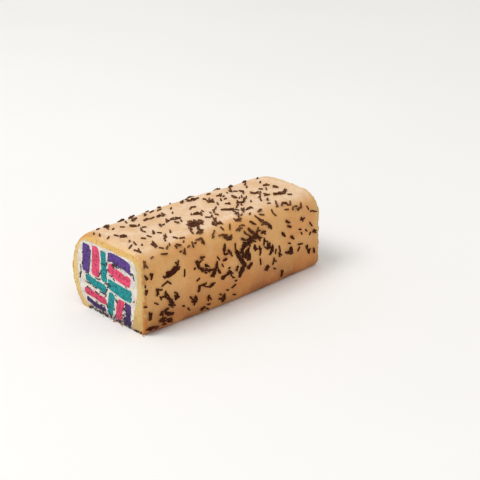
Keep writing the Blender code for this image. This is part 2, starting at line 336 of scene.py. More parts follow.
def placed(tree, group, **values):
    """A group placed in a material with its own values."""
    made = tree.nodes.new("ShaderNodeGroup")
    made.node_tree = group
    for name, value in values.items():
        made.inputs[name].default_value = value
    return made


def finish_with(name, roughness):
    """A new material, with its tree and its shader."""
    material = bpy.data.materials.new(name)
    material.use_nodes = True
    shader = material.node_tree.nodes["Principled BSDF"]
    shader.inputs["Roughness"].default_value = roughness
    return material, material.node_tree, shader


def place_in(tree):
    """The place on a piece, as its sockets X, Y and Z."""
    place = node(tree, "ShaderNodeTexCoord", {}).outputs["Object"]
    return node(tree, "ShaderNodeSeparateXYZ", {"Vector": place}).outputs


def bumpy(tree, shader, height, strength, depth):
    """Fine relief in a finish, from a height."""
    bump = node(tree, "ShaderNodeBump", {"Height": height, "Strength": strength, "Distance": depth})
    tree.links.new(bump.outputs["Normal"], shader.inputs["Normal"])


# Open crumb: pores of two sizes between soft lumps, the same in all sponge
crumb, crumb_in, crumb_out = new_group("open_crumb", ["Size"], ["Pores", "Lumps", "Height"])
crumb_place = node(crumb, "ShaderNodeTexCoord", {}).outputs["Object"]
crumb_scale = reckon(crumb, "DIVIDE", 1.0, crumb_in.outputs["Size"])
crumb_lumps = node(crumb, "ShaderNodeTexNoise", {
    "Vector": crumb_place, "Scale": crumb_scale, "Detail": 3.0, "Roughness": 0.6,
}).outputs["Fac"]
crumb_holes = node(crumb, "ShaderNodeTexVoronoi", {
    "Vector": crumb_place, "Scale": product(crumb, crumb_scale, PORE_SPACING),
}).outputs["Distance"]
crumb_deep = product(crumb, ramped(crumb, crumb_holes, *PORE_EDGE), ramped(crumb, crumb_lumps, *DIP_EDGE))
crumb.links.new(crumb_deep, crumb_out.inputs["Pores"])
crumb.links.new(crumb_lumps, crumb_out.inputs["Lumps"])
crumb.links.new(reckon(crumb, "SUBTRACT", crumb_lumps, crumb_deep), crumb_out.inputs["Height"])


def dyed_sponge(name, dye):
    """Dyed sponge: the colour runs lighter on the lumps, with painted shade nearly black in the pores and
    painted shade low down.
    """
    material, tree, shader = finish_with(f"{name}_crumb", DYED_ROUGHNESS)
    grain = placed(tree, crumb, Size=DYED_CRUMB).outputs
    lumps = ramped(tree, grain["Lumps"], *DYED_LUMPS)
    body = mixed(tree, lumps, shade_of(dye, BETWEEN_LIGHT), shade_of(dye, LUMP_LIGHT, LUMP_LIFT))
    low = ramped(tree, place_in(tree)["Z"], *LOW_PAINTED_SHADE_HEIGHTS)
    # Painted shade in the lower strips and in the pores
    body = layered(tree, body, [
        (low, LOW_PAINTED_SHADE[name], shade_of(dye, LOW_PAINTED_SHADE_LIGHT)),
        (grain["Pores"], 1.0, shade_of(dye, PORE_SHADE_LIGHT)),
    ])
    tree.links.new(body, shader.inputs["Base Color"])
    bumpy(tree, shader, grain["Height"], *DYED_BUMP)
    return material


dyed = {colour: dyed_sponge(colour, dye) for colour, dye in DYES.items()}
channels = []
for number, (bar_name, (bar_start, bar_end, _, bar_thicknesses)) in enumerate(BARS.items()):
    bar_length = (Vector(bar_end) - Vector(bar_start)).length
    bar = sponge_block(
        f"sponge_{bar_name}", round(bar_length / BAR_CELL), round(max(bar_thicknesses) / BAR_CELL),
        (len(BAR_ROWS) - 2,),
    )
    cells = cells_of(bar)
    rows = np.rint(cells[:, 1] * (len(BAR_ROWS) - 1)).astype(int)
    along = np.array(BAR_ROWS)[rows] - LENGTH / 2
    flat = np.array([bar_point(bar_name, BAR_SEED * number, cell, y) for cell, y in zip(cells, along)])
    across, up = carried(flat[:, 0], flat[:, 1], along)
    reshape(bar, across, along, up)
    channel = bar.copy()
    channel.data = bar.data.copy()
    channel.name = f"channel_{bar_name}"
    bpy.context.scene.collection.objects.link(channel)
    ends = (rows == 0) | (rows == len(BAR_ROWS) - 1)
    reshape(channel, across, np.where(ends, along * PAST_CUT, along), up)
    channels.append(channel)
    rim = ends & (np.abs(cells[:, (0, 2)] - 0.5).max(axis=1) > OUTERMOST)
    reshape(bar, across, along - np.sign(along) * np.where(rim, BAR_RIM_DROP, 0), up)
    weigh(bar, "cut", np.where(ends, np.where(rim, BAR_RIM_RELIEF, 1.0), 0.0))
    for relief_size, relief_depth in CRUMB_RELIEF:
        rough_up(bar, "cut", relief_size, relief_depth)
    colour = bar_name.rsplit("_", 1)[1]
    bar.data.materials.append(dyed[colour])
    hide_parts(f"strip_{bar_name}")
    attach(bar, "root")

# Cream: white buttercream that beds the strips and lines the wrap, in one piece with a channel for each
# strip. It was spread soft and cut through with the sponge, so that its face is smeared and a little
# sunk. Underneath it ends in rough frills just clear of the table.

# The space inside the wrap at the near cut: its sides, top and rounded corners, and the wrap's two feet
CORE_LEFT = -0.0468
CORE_RIGHT = 0.0408
CORE_TOP = 0.0700
CORE_LOW_LEFT = (0.0162, 0.0268)
CORE_HIGH_RIGHT = (0.0086, 0.0124)
CORE_HIGH_LEFT = (0.0170, 0.0255)
CORE_DROOP = 0.0030
FOOT_LEFT_X = -0.0306
FOOT_LEFT_HEIGHT = 0.0038
FOOT_RIGHT_X = 0.0318
FOOT_RIGHT_HEIGHT = 0.0004
SLOPE_TOP = 0.0390
SLOPE_MIDDLE = (0.0350, 0.0170)
CREAM_BOTTOM = [(0.0318, 0.0006), (0.0170, 0.0006), (-0.0030, 0.0006), (-0.0080, 0.0030), (-0.0190, 0.0026)]
# Cells in each run of that outline and the skin's: left side, top, right corner, right side twice, foot
RUN_CELLS = [54, 140, 28, 38, 28, 24]
# Sizes and depths of the waves in the outline, how slowly they change along the roll, and where they fade
CORE_WAVES = [(0.0110, 0.00060), (0.0035, 0.00030)]
CORE_WAVE_ALONG = 0.03
CORE_WAVE_FADE = 12
CORE_WAVE_APART = 1000
CREAM_CELL = 0.0007
CREAM_ROWS = 10
# How far the block that the cream is cut from reaches past that space
CREAM_OVER = {"left": 0.008, "right": 0.012, "below": 0.002, "above": 0.010}
CREAM_RELIEF = [(0.0060, 0.0009), (0.0022, 0.0005)]


def arc(centre, radii, start, end, steps=24):
    """Points on an ellipse from one angle to another, in degrees counterclockwise from +X."""
    angles = np.radians(np.linspace(start, end, steps + 1))
    return [(centre[0] + radii[0] * math.cos(a), centre[1] + radii[1] * math.sin(a)) for a in angles]


def evenly(points, steps):
    """Points at even distances along a line of others, without the last."""
    points = np.array(points)
    lengths = np.r_[0, np.cumsum(np.linalg.norm(np.diff(points, axis=0), axis=1))]
    wanted = np.linspace(0, lengths[-1], steps + 1)[:-1]
    return np.column_stack([np.interp(wanted, lengths, points[:, axis]) for axis in (0, 1)])


def through(runs):
    """The runs of an outline as one line of points, with as many cells in each as RUN_CELLS says."""
    parts = [evenly(run, cells) for run, cells in zip(runs, RUN_CELLS)]
    return np.vstack(parts + [np.array([runs[-1][-1]])])


def pocket_line(y):
    """The inside of the wrap at Y, from its left foot over the top to its right foot, a little wavy."""
    low = arc((CORE_LEFT + CORE_LOW_LEFT[0], FOOT_LEFT_HEIGHT + CORE_LOW_LEFT[1]), CORE_LOW_LEFT, 270, 180)
    droop = CORE_DROOP * max(0.0, 2 * y / LENGTH) ** 2
    wide, tall = (size + droop for size in CORE_HIGH_LEFT)
    high = arc((CORE_LEFT + wide, CORE_TOP - tall), (wide, tall), 180, 90)
    turn = arc((CORE_RIGHT - CORE_HIGH_RIGHT[0], CORE_TOP - CORE_HIGH_RIGHT[1]), CORE_HIGH_RIGHT, 90, 0)
    line = through([
        low,
        [low[-1]] + high + [turn[0]],
        turn,
        [turn[-1], (CORE_RIGHT, SLOPE_TOP)],
        [(CORE_RIGHT, SLOPE_TOP), SLOPE_MIDDLE],
        [SLOPE_MIDDLE, (FOOT_RIGHT_X, FOOT_RIGHT_HEIGHT)],
    ])
    ahead = np.gradient(line, axis=0)
    ahead /= np.linalg.norm(ahead, axis=1)[:, None]
    distance = np.r_[0, np.cumsum(np.linalg.norm(np.diff(line, axis=0), axis=1))]
    share = np.linspace(0, 1, len(line))
    calm = np.minimum(1, CORE_WAVE_FADE * np.minimum(share, 1 - share))
    wave = np.zeros(len(line))
    for size, depth in CORE_WAVES:
        spots = [Vector((d / size, y / CORE_WAVE_ALONG, size * CORE_WAVE_APART)) for d in distance]
        wave += [depth * noise.noise(spot) for spot in spots]
    line = line + np.column_stack([-ahead[:, 1], ahead[:, 0]]) * (wave * calm)[:, None]
    return np.column_stack(carried(line[:, 0], line[:, 1], y))


def cut_with(piece, cutter, operation):
    """A Boolean with a closed cutter, applied, after which the cutter is removed."""
    modifier = piece.modifiers.new("cut", "BOOLEAN")
    modifier.operation = operation
    modifier.solver = "MANIFOLD"
    modifier.object = cutter
    turn_to(piece)
    bpy.ops.object.modifier_apply(modifier="cut")
    bpy.data.objects.remove(cutter, do_unlink=True)


def core_cutter():
    """The space inside the wrap, closed below by the cream's bottom and running past both cuts."""
    places = [-LENGTH / 2 + LENGTH * row / CREAM_ROWS for row in range(CREAM_ROWS + 1)]
    rings = []
    for y in places:
        bottom = np.column_stack(carried(*np.array(CREAM_BOTTOM).T, y))
        rings.append(np.vstack([pocket_line(y), bottom]))
    count = len(rings[0])
    bpy.ops.object.select_all(action="DESELECT")
    bpy.ops.mesh.primitive_circle_add(vertices=count, fill_type="NGON", radius=1)
    cutter = bpy.context.object
    bpy.ops.object.mode_set(mode="EDIT")
    bpy.ops.mesh.select_all(action="SELECT")
    bpy.ops.mesh.extrude_region_move(TRANSFORM_OT_translate={"value": (0, 0, 1)})
    bpy.ops.mesh.select_all(action="DESELECT")
    model = bmesh.from_edit_mesh(cutter.data)
    for edge in model.edges:
        first, second = (vertex.co.z for vertex in edge.verts)
        edge.select_set(abs(first - second) > SAME)
    bmesh.update_edit_mesh(cutter.data)
    bpy.ops.mesh.subdivide(number_cuts=CREAM_ROWS - 1)
    bpy.ops.object.mode_set(mode="OBJECT")
    cells = cells_of(cutter)
    ring = np.rint(cells[:, 2] * CREAM_ROWS).astype(int)
    spot = np.rint(np.arctan2(cells[:, 1], cells[:, 0]) / (2 * math.pi) * count).astype(int) % count
    outline = np.array([rings[r][s] for r, s in zip(ring, spot)])
    along = np.array(places)[ring]
    past = (ring == 0) | (ring == CREAM_ROWS)
    reshape(cutter, outline[:, 0], np.where(past, along * PAST_CUT, along), outline[:, 1])
    return cutter


cream_width = CORE_RIGHT - CORE_LEFT + CREAM_OVER["left"] + CREAM_OVER["right"]
cream_height = CORE_TOP + CREAM_OVER["below"] + CREAM_OVER["above"]
cream = sponge_block(
    "buttercream", round(cream_width / CREAM_CELL), round(cream_height / CREAM_CELL), (CREAM_ROWS - 1,)
)
cells = cells_of(cream)
along = (cells[:, 1] - 0.5) * LENGTH
across = CORE_LEFT - CREAM_OVER["left"] + cells[:, 0] * cream_width
reshape(cream, across, along, cells[:, 2] * cream_height - CREAM_OVER["below"])
cut_with(cream, core_cutter(), "INTERSECT")
for channel in channels:
    cut_with(cream, channel, "DIFFERENCE")
cells = cells_of(cream)
weigh(cream, "cut", np.where(np.abs(cells[:, 1]) > LENGTH / 2 - SAME, 1.0, 0.0))
for relief_size, relief_depth in CREAM_RELIEF:
    rough_up(cream, "cut", relief_size, relief_depth)

# Cloudy patches: where colour gathers or pales over a surface, in any finish
patches, patches_in, patches_out = new_group("cloudy_patches", ["Size", "Low", "High"], ["Mask"])
patches_noise = node(patches, "ShaderNodeTexNoise", {
    "Vector": node(patches, "ShaderNodeTexCoord", {}).outputs["Object"],
    "Scale": reckon(patches, "DIVIDE", 1.0, patches_in.outputs["Size"]),
    "Detail": 4.0,
}).outputs["Fac"]
patches.links.new(
    ramped(patches, patches_noise, patches_in.outputs["Low"], patches_in.outputs["High"]),
    patches_out.inputs["Mask"],
)


def cloudy(tree, size, low, high):
    """The mask of cloudy patches of a size, between where they begin and where they are full."""
    return placed(tree, patches, Size=size, Low=low, High=high).outputs["Mask"]


# The cream's colours; its low colour darkens the cream low down, for chocolate smeared along the base and for
# painted shade there
CREAM = {"thin": (207, 198, 192), "thick": (233, 226, 211), "stain": (174, 165, 166), "low": (118, 98, 98)}
CREAM_ROUGHNESS = 0.50
CREAM_SMEARS = (0.0060, 0.35, 0.65)
CREAM_STAINS = (0.0022, 0.60, 0.76)
CREAM_LOW_SMEAR_AND_SHADE = (0.0085, 0.0010)
CREAM_LOW_SMEAR_AND_SHADE_SHARE = 0.75
CREAM_BUMP = (0.3, 0.0006)
cream_finish, tree, shader = finish_with("buttercream", CREAM_ROUGHNESS)
stains = cloudy(tree, *CREAM_STAINS)
smeared = mixed(tree, cloudy(tree, *CREAM_SMEARS), tint(CREAM["thin"]), tint(CREAM["thick"]))
smeared = layered(tree, smeared, [
    (stains, 1.0, tint(CREAM["stain"])),
    (ramped(tree, place_in(tree)["Z"], *CREAM_LOW_SMEAR_AND_SHADE), CREAM_LOW_SMEAR_AND_SHADE_SHARE, tint(CREAM["low"])),
])
tree.links.new(smeared, shader.inputs["Base Color"])
bumpy(tree, shader, stains, *CREAM_BUMP)
cream.data.materials.clear()
cream.data.materials.append(cream_finish)
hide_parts("cream_filling")
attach(cream, "root")

# Sponge wrap: one sheet of pale yellow sponge, about 8 mm thick, rolled round the filling with its
# baked skin outside and its two ends tucked under. The cuts show the open crumb inside a thin browned
# line, and the skin rounds over at the cuts, warm yellow there and browner low on the side, where
# painted shade darkens it too, down to a painted contact shadow at the table.

# Corner radii, across and up, at each cut: low left, low right, high right and high left
NEAR_CORNERS = [(0.0181, 0.0322), (0.0059, 0.0054), (0.0133, 0.0140), (0.0270, 0.0440)]
FAR_CORNERS = [(0.0181, 0.0322), (0.0059, 0.0054), (0.0207, 0.0195), (0.0325, 0.0450)]
# How much rounder the upper corners, right then left, are at the ends than in the middle
CORNER_DROOP = {"near": [(0.0, 0.0), (0.0072, 0.0)], "far": [(0.0050, 0.0070), (0.0070, 0.0)]}
# The skin stands proud near the cuts, rounds over at them and sinks back further in
EDGE_PROUD = 0.0016
EDGE_ROUND = 0.0050
EDGE_FADE = (0.012, 0.050)
WRAP_LAYERS = 12
WRAP_ROW_CUTS = (11, 9)
RIM_ROWS = 14
RIM_DEPTH = 0.0085
# Sizes and depths of the waves pressed into the skin, the cuts, the feet's ends and the rims
SKIN_RELIEF = [(0.0300, 0.0020), (0.0090, 0.0007), (0.0035, 0.0003)]
WRAP_CUT_RELIEF = [(0.0060, 0.0008), (0.0022, 0.0007)]
FOOT_RELIEF = [(0.0050, 0.0022), (0.0020, 0.0012)]
RIM_RELIEF = [(0.0070, 0.0026), (0.0020, 0.0012)]
# How much of the skin's waves and of the cut's waves their common edge takes
SKIN_AT_CUT = 0.5
CUT_AT_SKIN = 0.2
# Where the waves fade in: up from the table, down to the foot, out towards a cut
SKIN_UP = (0.001, 0.012)
FOOT_OUT = (0.006, 0.001)
FOOT_DOWN = (0.016, 0.006)
FOOT_UP = (0.0012, 0.0030)
RIM_OUT = (0.0026, 0.0004)
RIM_UP = (0.001, 0.006)


def soft_step(value, low, high):
    """A soft step from 0 to 1 as a value goes from low to high."""
    share = np.clip((value - low) / (high - low), 0, 1)
    return share * share * (3 - 2 * share)


def skin_line(y):
    """The skin at Y, from the wrap's left foot over the top to its right foot."""
    share = y / LENGTH + 0.5
    inset = LENGTH / 2 - abs(y)
    rise = 1 - min(1.0, inset / EDGE_ROUND)
    proud = EDGE_PROUD * (math.sqrt(1 - rise * rise) - soft_step(inset, *EDGE_FADE))
    left = -roll_size("left", share) - proud
    right = roll_size("right", share) + proud
    top = roll_size("height", share) + proud
    low_left, painted_low_right_shade, high_right, high_left = [
        (near[0] + (far[0] - near[0]) * share, near[1] + (far[1] - near[1]) * share)
        for near, far in zip(NEAR_CORNERS, FAR_CORNERS)
    ]
    drooping = (2 * share - 1) ** 2
    high_right, high_left = [
        (size[0] + drooping * extra[0], size[1] + drooping * extra[1])
        for size, extra in zip((high_right, high_left), CORNER_DROOP["near" if share < 0.5 else "far"])
    ]
    low = arc((left + low_left[0], low_left[1]), low_left, 270, 180)
    high = arc((left + high_left[0], top - high_left[1]), high_left, 180, 90)
    turn = arc((right - high_right[0], top - high_right[1]), high_right, 90, 0)
    corner = arc((right - painted_low_right_shade[0], painted_low_right_shade[1]), painted_low_right_shade, 0, -90)
    return through([
        [(FOOT_LEFT_X, 0.0)] + low,
        high + [turn[0]],
        turn,
        [turn[-1], (right, SLOPE_TOP)],
        [(right, SLOPE_TOP), corner[0]],
        corner + [(FOOT_RIGHT_X, 0.0)],
    ])


wrap = sponge_block("sponge_sheet", sum(RUN_CELLS), WRAP_LAYERS, WRAP_ROW_CUTS)
row_count = math.prod(cuts + 1 for cuts in WRAP_ROW_CUTS)
rim_places = np.linspace(0, RIM_DEPTH, RIM_ROWS + 1)
middle_places = np.linspace(RIM_DEPTH, LENGTH - RIM_DEPTH, row_count - 2 * RIM_ROWS + 1)
row_places = np.r_[rim_places[:-1], middle_places, LENGTH - rim_places[::-1][1:]] - LENGTH / 2
skins = np.array([skin_line(y) for y in row_places])
pockets = np.array([pocket_line(y) for y in row_places])
cells = cells_of(wrap)
rows = np.rint(cells[:, 1] * row_count).astype(int)
columns = np.rint(cells[:, 0] * sum(RUN_CELLS)).astype(int)
depth = 1 - cells[:, 2]
place = skins[rows, columns] * (1 - depth)[:, None] + pockets[rows, columns] * depth[:, None]
reshape(wrap, place[:, 0], row_places[rows], place[:, 1])
ends = (rows == 0) | (rows == row_count)
on_skin = depth < SAME
up = place[:, 1]
inset = LENGTH / 2 - np.abs(row_places[rows])
skin_share = soft_step(up, *SKIN_UP) * np.where(ends, SKIN_AT_CUT, 1.0)
foot_share = soft_step(inset, *FOOT_OUT) * soft_step(up, *FOOT_DOWN) * soft_step(up, *FOOT_UP)
rim_share = soft_step(inset, *RIM_OUT) * soft_step(up, *RIM_UP)
weigh(wrap, "skin", np.where(on_skin, skin_share, 0.0))
weigh(wrap, "cut", np.where(ends & ~on_skin, 1.0, np.where(ends, CUT_AT_SKIN, 0.0)))
weigh(wrap, "foot", np.where(on_skin, foot_share, 0.0))
weigh(wrap, "rim", np.where(on_skin, rim_share, 0.0))
for part, reliefs in (("skin", SKIN_RELIEF), ("foot", FOOT_RELIEF), ("rim", RIM_RELIEF)):
    for relief_size, relief_depth in reliefs:
        rough_up(wrap, part, relief_size, relief_depth, "NORMAL")
for relief_size, relief_depth in WRAP_CUT_RELIEF:
    rough_up(wrap, "cut", relief_size, relief_depth)
settled = cells_of(wrap)
reshape(wrap, settled[:, 0], settled[:, 1], np.maximum(settled[:, 2], 0))
inwards = wrap.data.attributes.new("inwards", "FLOAT", "POINT")
inwards.data.foreach_set("value", depth.astype(np.float32))
wrap.data.shade_smooth()

# The skin and the crumb inside it, as seen on a screen; the skin's low colour is browning with painted shade,
# its base colour a painted contact shadow
SKIN = {
    "pale": (238, 207, 173), "tan": (230, 190, 146), "speck": (218, 168, 120), "side": (225, 166, 94),
    "low": (162, 87, 31), "base": (120, 64, 24), "baked": (214, 136, 68), "yellow": (226, 178, 96),
    "pore_shade": (186, 124, 74), "rim": (204, 130, 56), "low_rim": (172, 92, 38), "burnt": (200, 118, 46),
}
# The crumb's shaded and low right colours are painted shade
INSIDE = {
    "dip": (214, 184, 112), "lump": (236, 208, 142), "shaded": (203, 172, 112), "painted_low_right_shade": (182, 144, 84),
    "warm": (230, 184, 104), "golden": (229, 174, 92), "pore_shade": (160, 118, 62),
}
# Cloudy patches: how large, where they begin and where they are full
PATCHES = {
    "broad": (0.0200, 0.38, 0.66), "fine": (0.0040, 0.40, 0.68), "baked": (0.0300, 0.44, 0.62),
    "yellow": (0.0200, 0.40, 0.74), "warm": (0.0070, 0.42, 0.66), "flecks": (0.0065, 0.38, 0.68),
}
# Soft steps across the roll, up it, in from a cut or in from the skin: from none to full
FADES = {
    "down_side": ("Z", 0.077, 0.062), "out_to_side": ("X", 0.036, 0.051), "low": ("Z", 0.046, 0.0),
    "base": ("Z", 0.014, 0.0), "right_crumb": ("X", 0.034, 0.046), "low_crumb": ("Z", 0.030, 0.0),
    "foot_crumb": ("X", 0.020, 0.034), "down_foot": ("Z", 0.036, 0.004), "golden": ("Z", 0.066, 0.073),
    "right_half": ("X", 0.0, 0.030), "left_shoulder": ("X", -0.008, -0.034), "left_edge": ("X", 0.0, -0.034),
    "off_table": ("Z", 0.006, 0.030), "low_rim": ("Z", 0.040, 0.010), "rubbed": ("rubbed", 0.0100, 0.0025),
    "left_brown": ("cut", 0.0110, 0.0020), "right_brown": ("cut", 0.0065, 0.0010),
    "burnt_along": ("cut", 0.0045, 0.0010), "burnt_in": ("in", 0.24, 0.06), "inside": ("torn", 0.03, 0.12),
}
SPONGE_ROUGHNESS = 0.80
SPONGE_CRUMB = 0.0028
SPONGE_LUMPS = (0.35, 0.65)
SPONGE_BUMP = (0.6, 0.0007)
# How much of each colour shows at most
SKIN_SHOWS = {
    "speck": 0.30, "side": 0.85, "low": 0.85, "base": 0.55, "baked": 0.45, "yellow": 0.30, "pore_shade": 0.22,
    "rim": 0.70, "burnt": 0.75,
}
INSIDE_SHOWS = {"shaded": 0.70, "painted_low_right_shade": 0.55, "warm": 0.30, "golden": 0.65, "pore_shade": 0.60}
# How much the skin near a cut is rubbed everywhere, and how much more on the left shoulder and the right side
RUB = {"all": 0.40, "left": 0.35, "right": 0.40}
# How brown the flecks on the right side are high up, where those at the foot are full
LEAST_BROWN = 0.4
# How deep the patches and the crumb show on the skin, where the crumb on the cuts is full
SKIN_HEIGHTS = (0.30, 0.60)
# How far in from the cuts the rubbed skin wanders, and how far the skin's own edge does on the cuts
RUBBED_WANDER = 0.0035
TORN_WANDER = 0.12

wrap_finish, tree, shader = finish_with("baked_sponge", SPONGE_ROUGHNESS)
clouds = {name: cloudy(tree, *patch) for name, patch in PATCHES.items()}
grain = placed(tree, crumb, Size=SPONGE_CRUMB).outputs
where = dict(place_in(tree).items())
where["in"] = node(tree, "ShaderNodeAttribute", {}, attribute_name="inwards").outputs["Fac"]
where["cut"] = reckon(tree, "SUBTRACT", LENGTH / 2, reckon(tree, "ABSOLUTE", where["Y"], 0.0))
where["rubbed"] = reckon(tree, "ADD", where["cut"], product(tree, clouds["broad"], RUBBED_WANDER))
torn_edge = product(tree, reckon(tree, "SUBTRACT", clouds["flecks"], 0.5), TORN_WANDER)
where["torn"] = reckon(tree, "ADD", where["in"], torn_edge)
fade = {name: ramped(tree, where[way], *steps) for name, (way, *steps) in FADES.items()}
side = reckon(tree, "MAXIMUM", fade["down_side"], fade["out_to_side"])
right_side = product(tree, side, fade["right_half"])

# Low down the skin is browner and also carries painted shade; lowest, by the table, it carries a painted
# contact shadow
skin_masks = {
    "speck": clouds["fine"], "side": side, "low": fade["low"], "base": fade["base"],
    "baked": product(tree, clouds["baked"], side), "yellow": product(tree, clouds["yellow"], side),
    # The pore colour is painted shade in the pits of the skin
    "pore_shade": grain["Pores"],
}
skin_layers = [(mask, SKIN_SHOWS[name], tint(SKIN[name])) for name, mask in skin_masks.items()]
skin = layered(tree, mixed(tree, clouds["broad"], tint(SKIN["pale"]), tint(SKIN["tan"])), skin_layers)
# The crumb's shaded and low right colours are painted shade, on the right of the cuts and low down
inside_masks = {
    "shaded": reckon(tree, "MAXIMUM", fade["right_crumb"], fade["low_crumb"]),
    "painted_low_right_shade": product(tree, fade["foot_crumb"], fade["down_foot"]),
    # The pore colour is painted shade in the pores of the crumb
    "warm": clouds["warm"], "golden": fade["golden"], "pore_shade": grain["Pores"],
}
inside_layers = [(mask, INSIDE_SHOWS[name], tint(INSIDE[name])) for name, mask in inside_masks.items()]
lumps = ramped(tree, grain["Lumps"], *SPONGE_LUMPS)
inside = layered(tree, mixed(tree, lumps, tint(INSIDE["dip"]), tint(INSIDE["lump"])), inside_layers)
# Near the cuts the skin is rubbed to the crumb's colour, most on the left shoulder and the right side
left_rub = product(tree, fade["left_shoulder"], RUB["left"])
right_rub = product(tree, right_side, fade["off_table"], RUB["right"])
rub = reckon(tree, "ADD", reckon(tree, "ADD", left_rub, right_rub), RUB["all"])
# Its very edge is browned: all along on the left, in flecks on the right, there most at the foot
low_most = reckon(tree, "ADD", product(tree, fade["low_rim"], 1 - LEAST_BROWN), LEAST_BROWN)
right_brown = product(tree, right_side, fade["right_brown"], clouds["flecks"], low_most)
browned = reckon(tree, "MAXIMUM", product(tree, fade["left_edge"], fade["left_brown"]), right_brown)
rim_colour = mixed(tree, fade["low_rim"], tint(SKIN["rim"]), tint(SKIN["low_rim"]))
skin = layered(tree, skin, [(fade["rubbed"], rub, inside), (browned, SKIN_SHOWS["rim"], rim_colour)])
burnt = product(tree, right_side, fade["burnt_in"], fade["burnt_along"], clouds["flecks"])
sponge = mixed(tree, fade["inside"], skin, inside)
sponge = layered(tree, sponge, [(burnt, SKIN_SHOWS["burnt"], tint(SKIN["burnt"]))])
tree.links.new(sponge, shader.inputs["Base Color"])
patch_height = product(tree, clouds["fine"], SKIN_HEIGHTS[0])
crumb_height = product(tree, grain["Height"], SKIN_HEIGHTS[1])
heights = {0: fade["inside"], 2: reckon(tree, "ADD", patch_height, crumb_height), 3: grain["Height"]}
bumpy(tree, shader, node(tree, "ShaderNodeMix", heights, data_type="FLOAT").outputs[0], *SPONGE_BUMP)
wrap.data.materials.append(wrap_finish)
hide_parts("sponge_wrap")
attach(wrap, "root")

# Sprinkles: dark brown sugar rods about 6 mm long, strewn by hand on the sticky skin, where they lie
# in loose clumps and chains with bare skin between. In the dense ones a few lie across each other.
SPRINKLE_RADIUS = (0.00074, 0.00089)
SPRINKLE_LENGTH = (0.0050, 0.0074)
LONGEST_SPRINKLE = 0.0082
SPRINKLE_SEED = 7
SPRINKLE_SUNK = 0.25
# The area of skin that each rod of a clump takes, on the side and on the top, and where the side ends
SPRINKLE_COVER = {"side": 5.9e-6, "top": 8.0e-6}
SIDE_ENDS = 0.066
# A clump narrower than this is a chain of single rods
CHAIN_WIDTH = 0.0024
CHAIN_SPREAD = 0.08
CLUMP_SPREAD = (0.16, 0.55)
SHORTEST_SPRINKLE = 0.0030
# A rod closer than this to another is lifted onto it, and rods lie more apart along a clump than across it
CROWDED = 0.0014
LIFT = 0.0007
ROOM_SHAPE = 2.2
ROOM_FOR_ROD = 0.8
TRIES = 12
PITCH = 0.06
LIFTED_PITCH = 0.22
BEND = 0.5
CLEAR_OF_TABLE = 0.0005
# Distance up the skin is counted from where the foot has turned to within this of the side
FOOT_TURN = 0.0020
# The rod's rings from end to end: their places along it and their radii, for a rod of length 1 and radius 1
ROD_RINGS = [(0.5, 0.0), (0.46, 0.74), (0.36, 1.0), (0.0, 1.04), (-0.36, 1.0), (-0.46, 0.74), (-0.5, 0.0)]
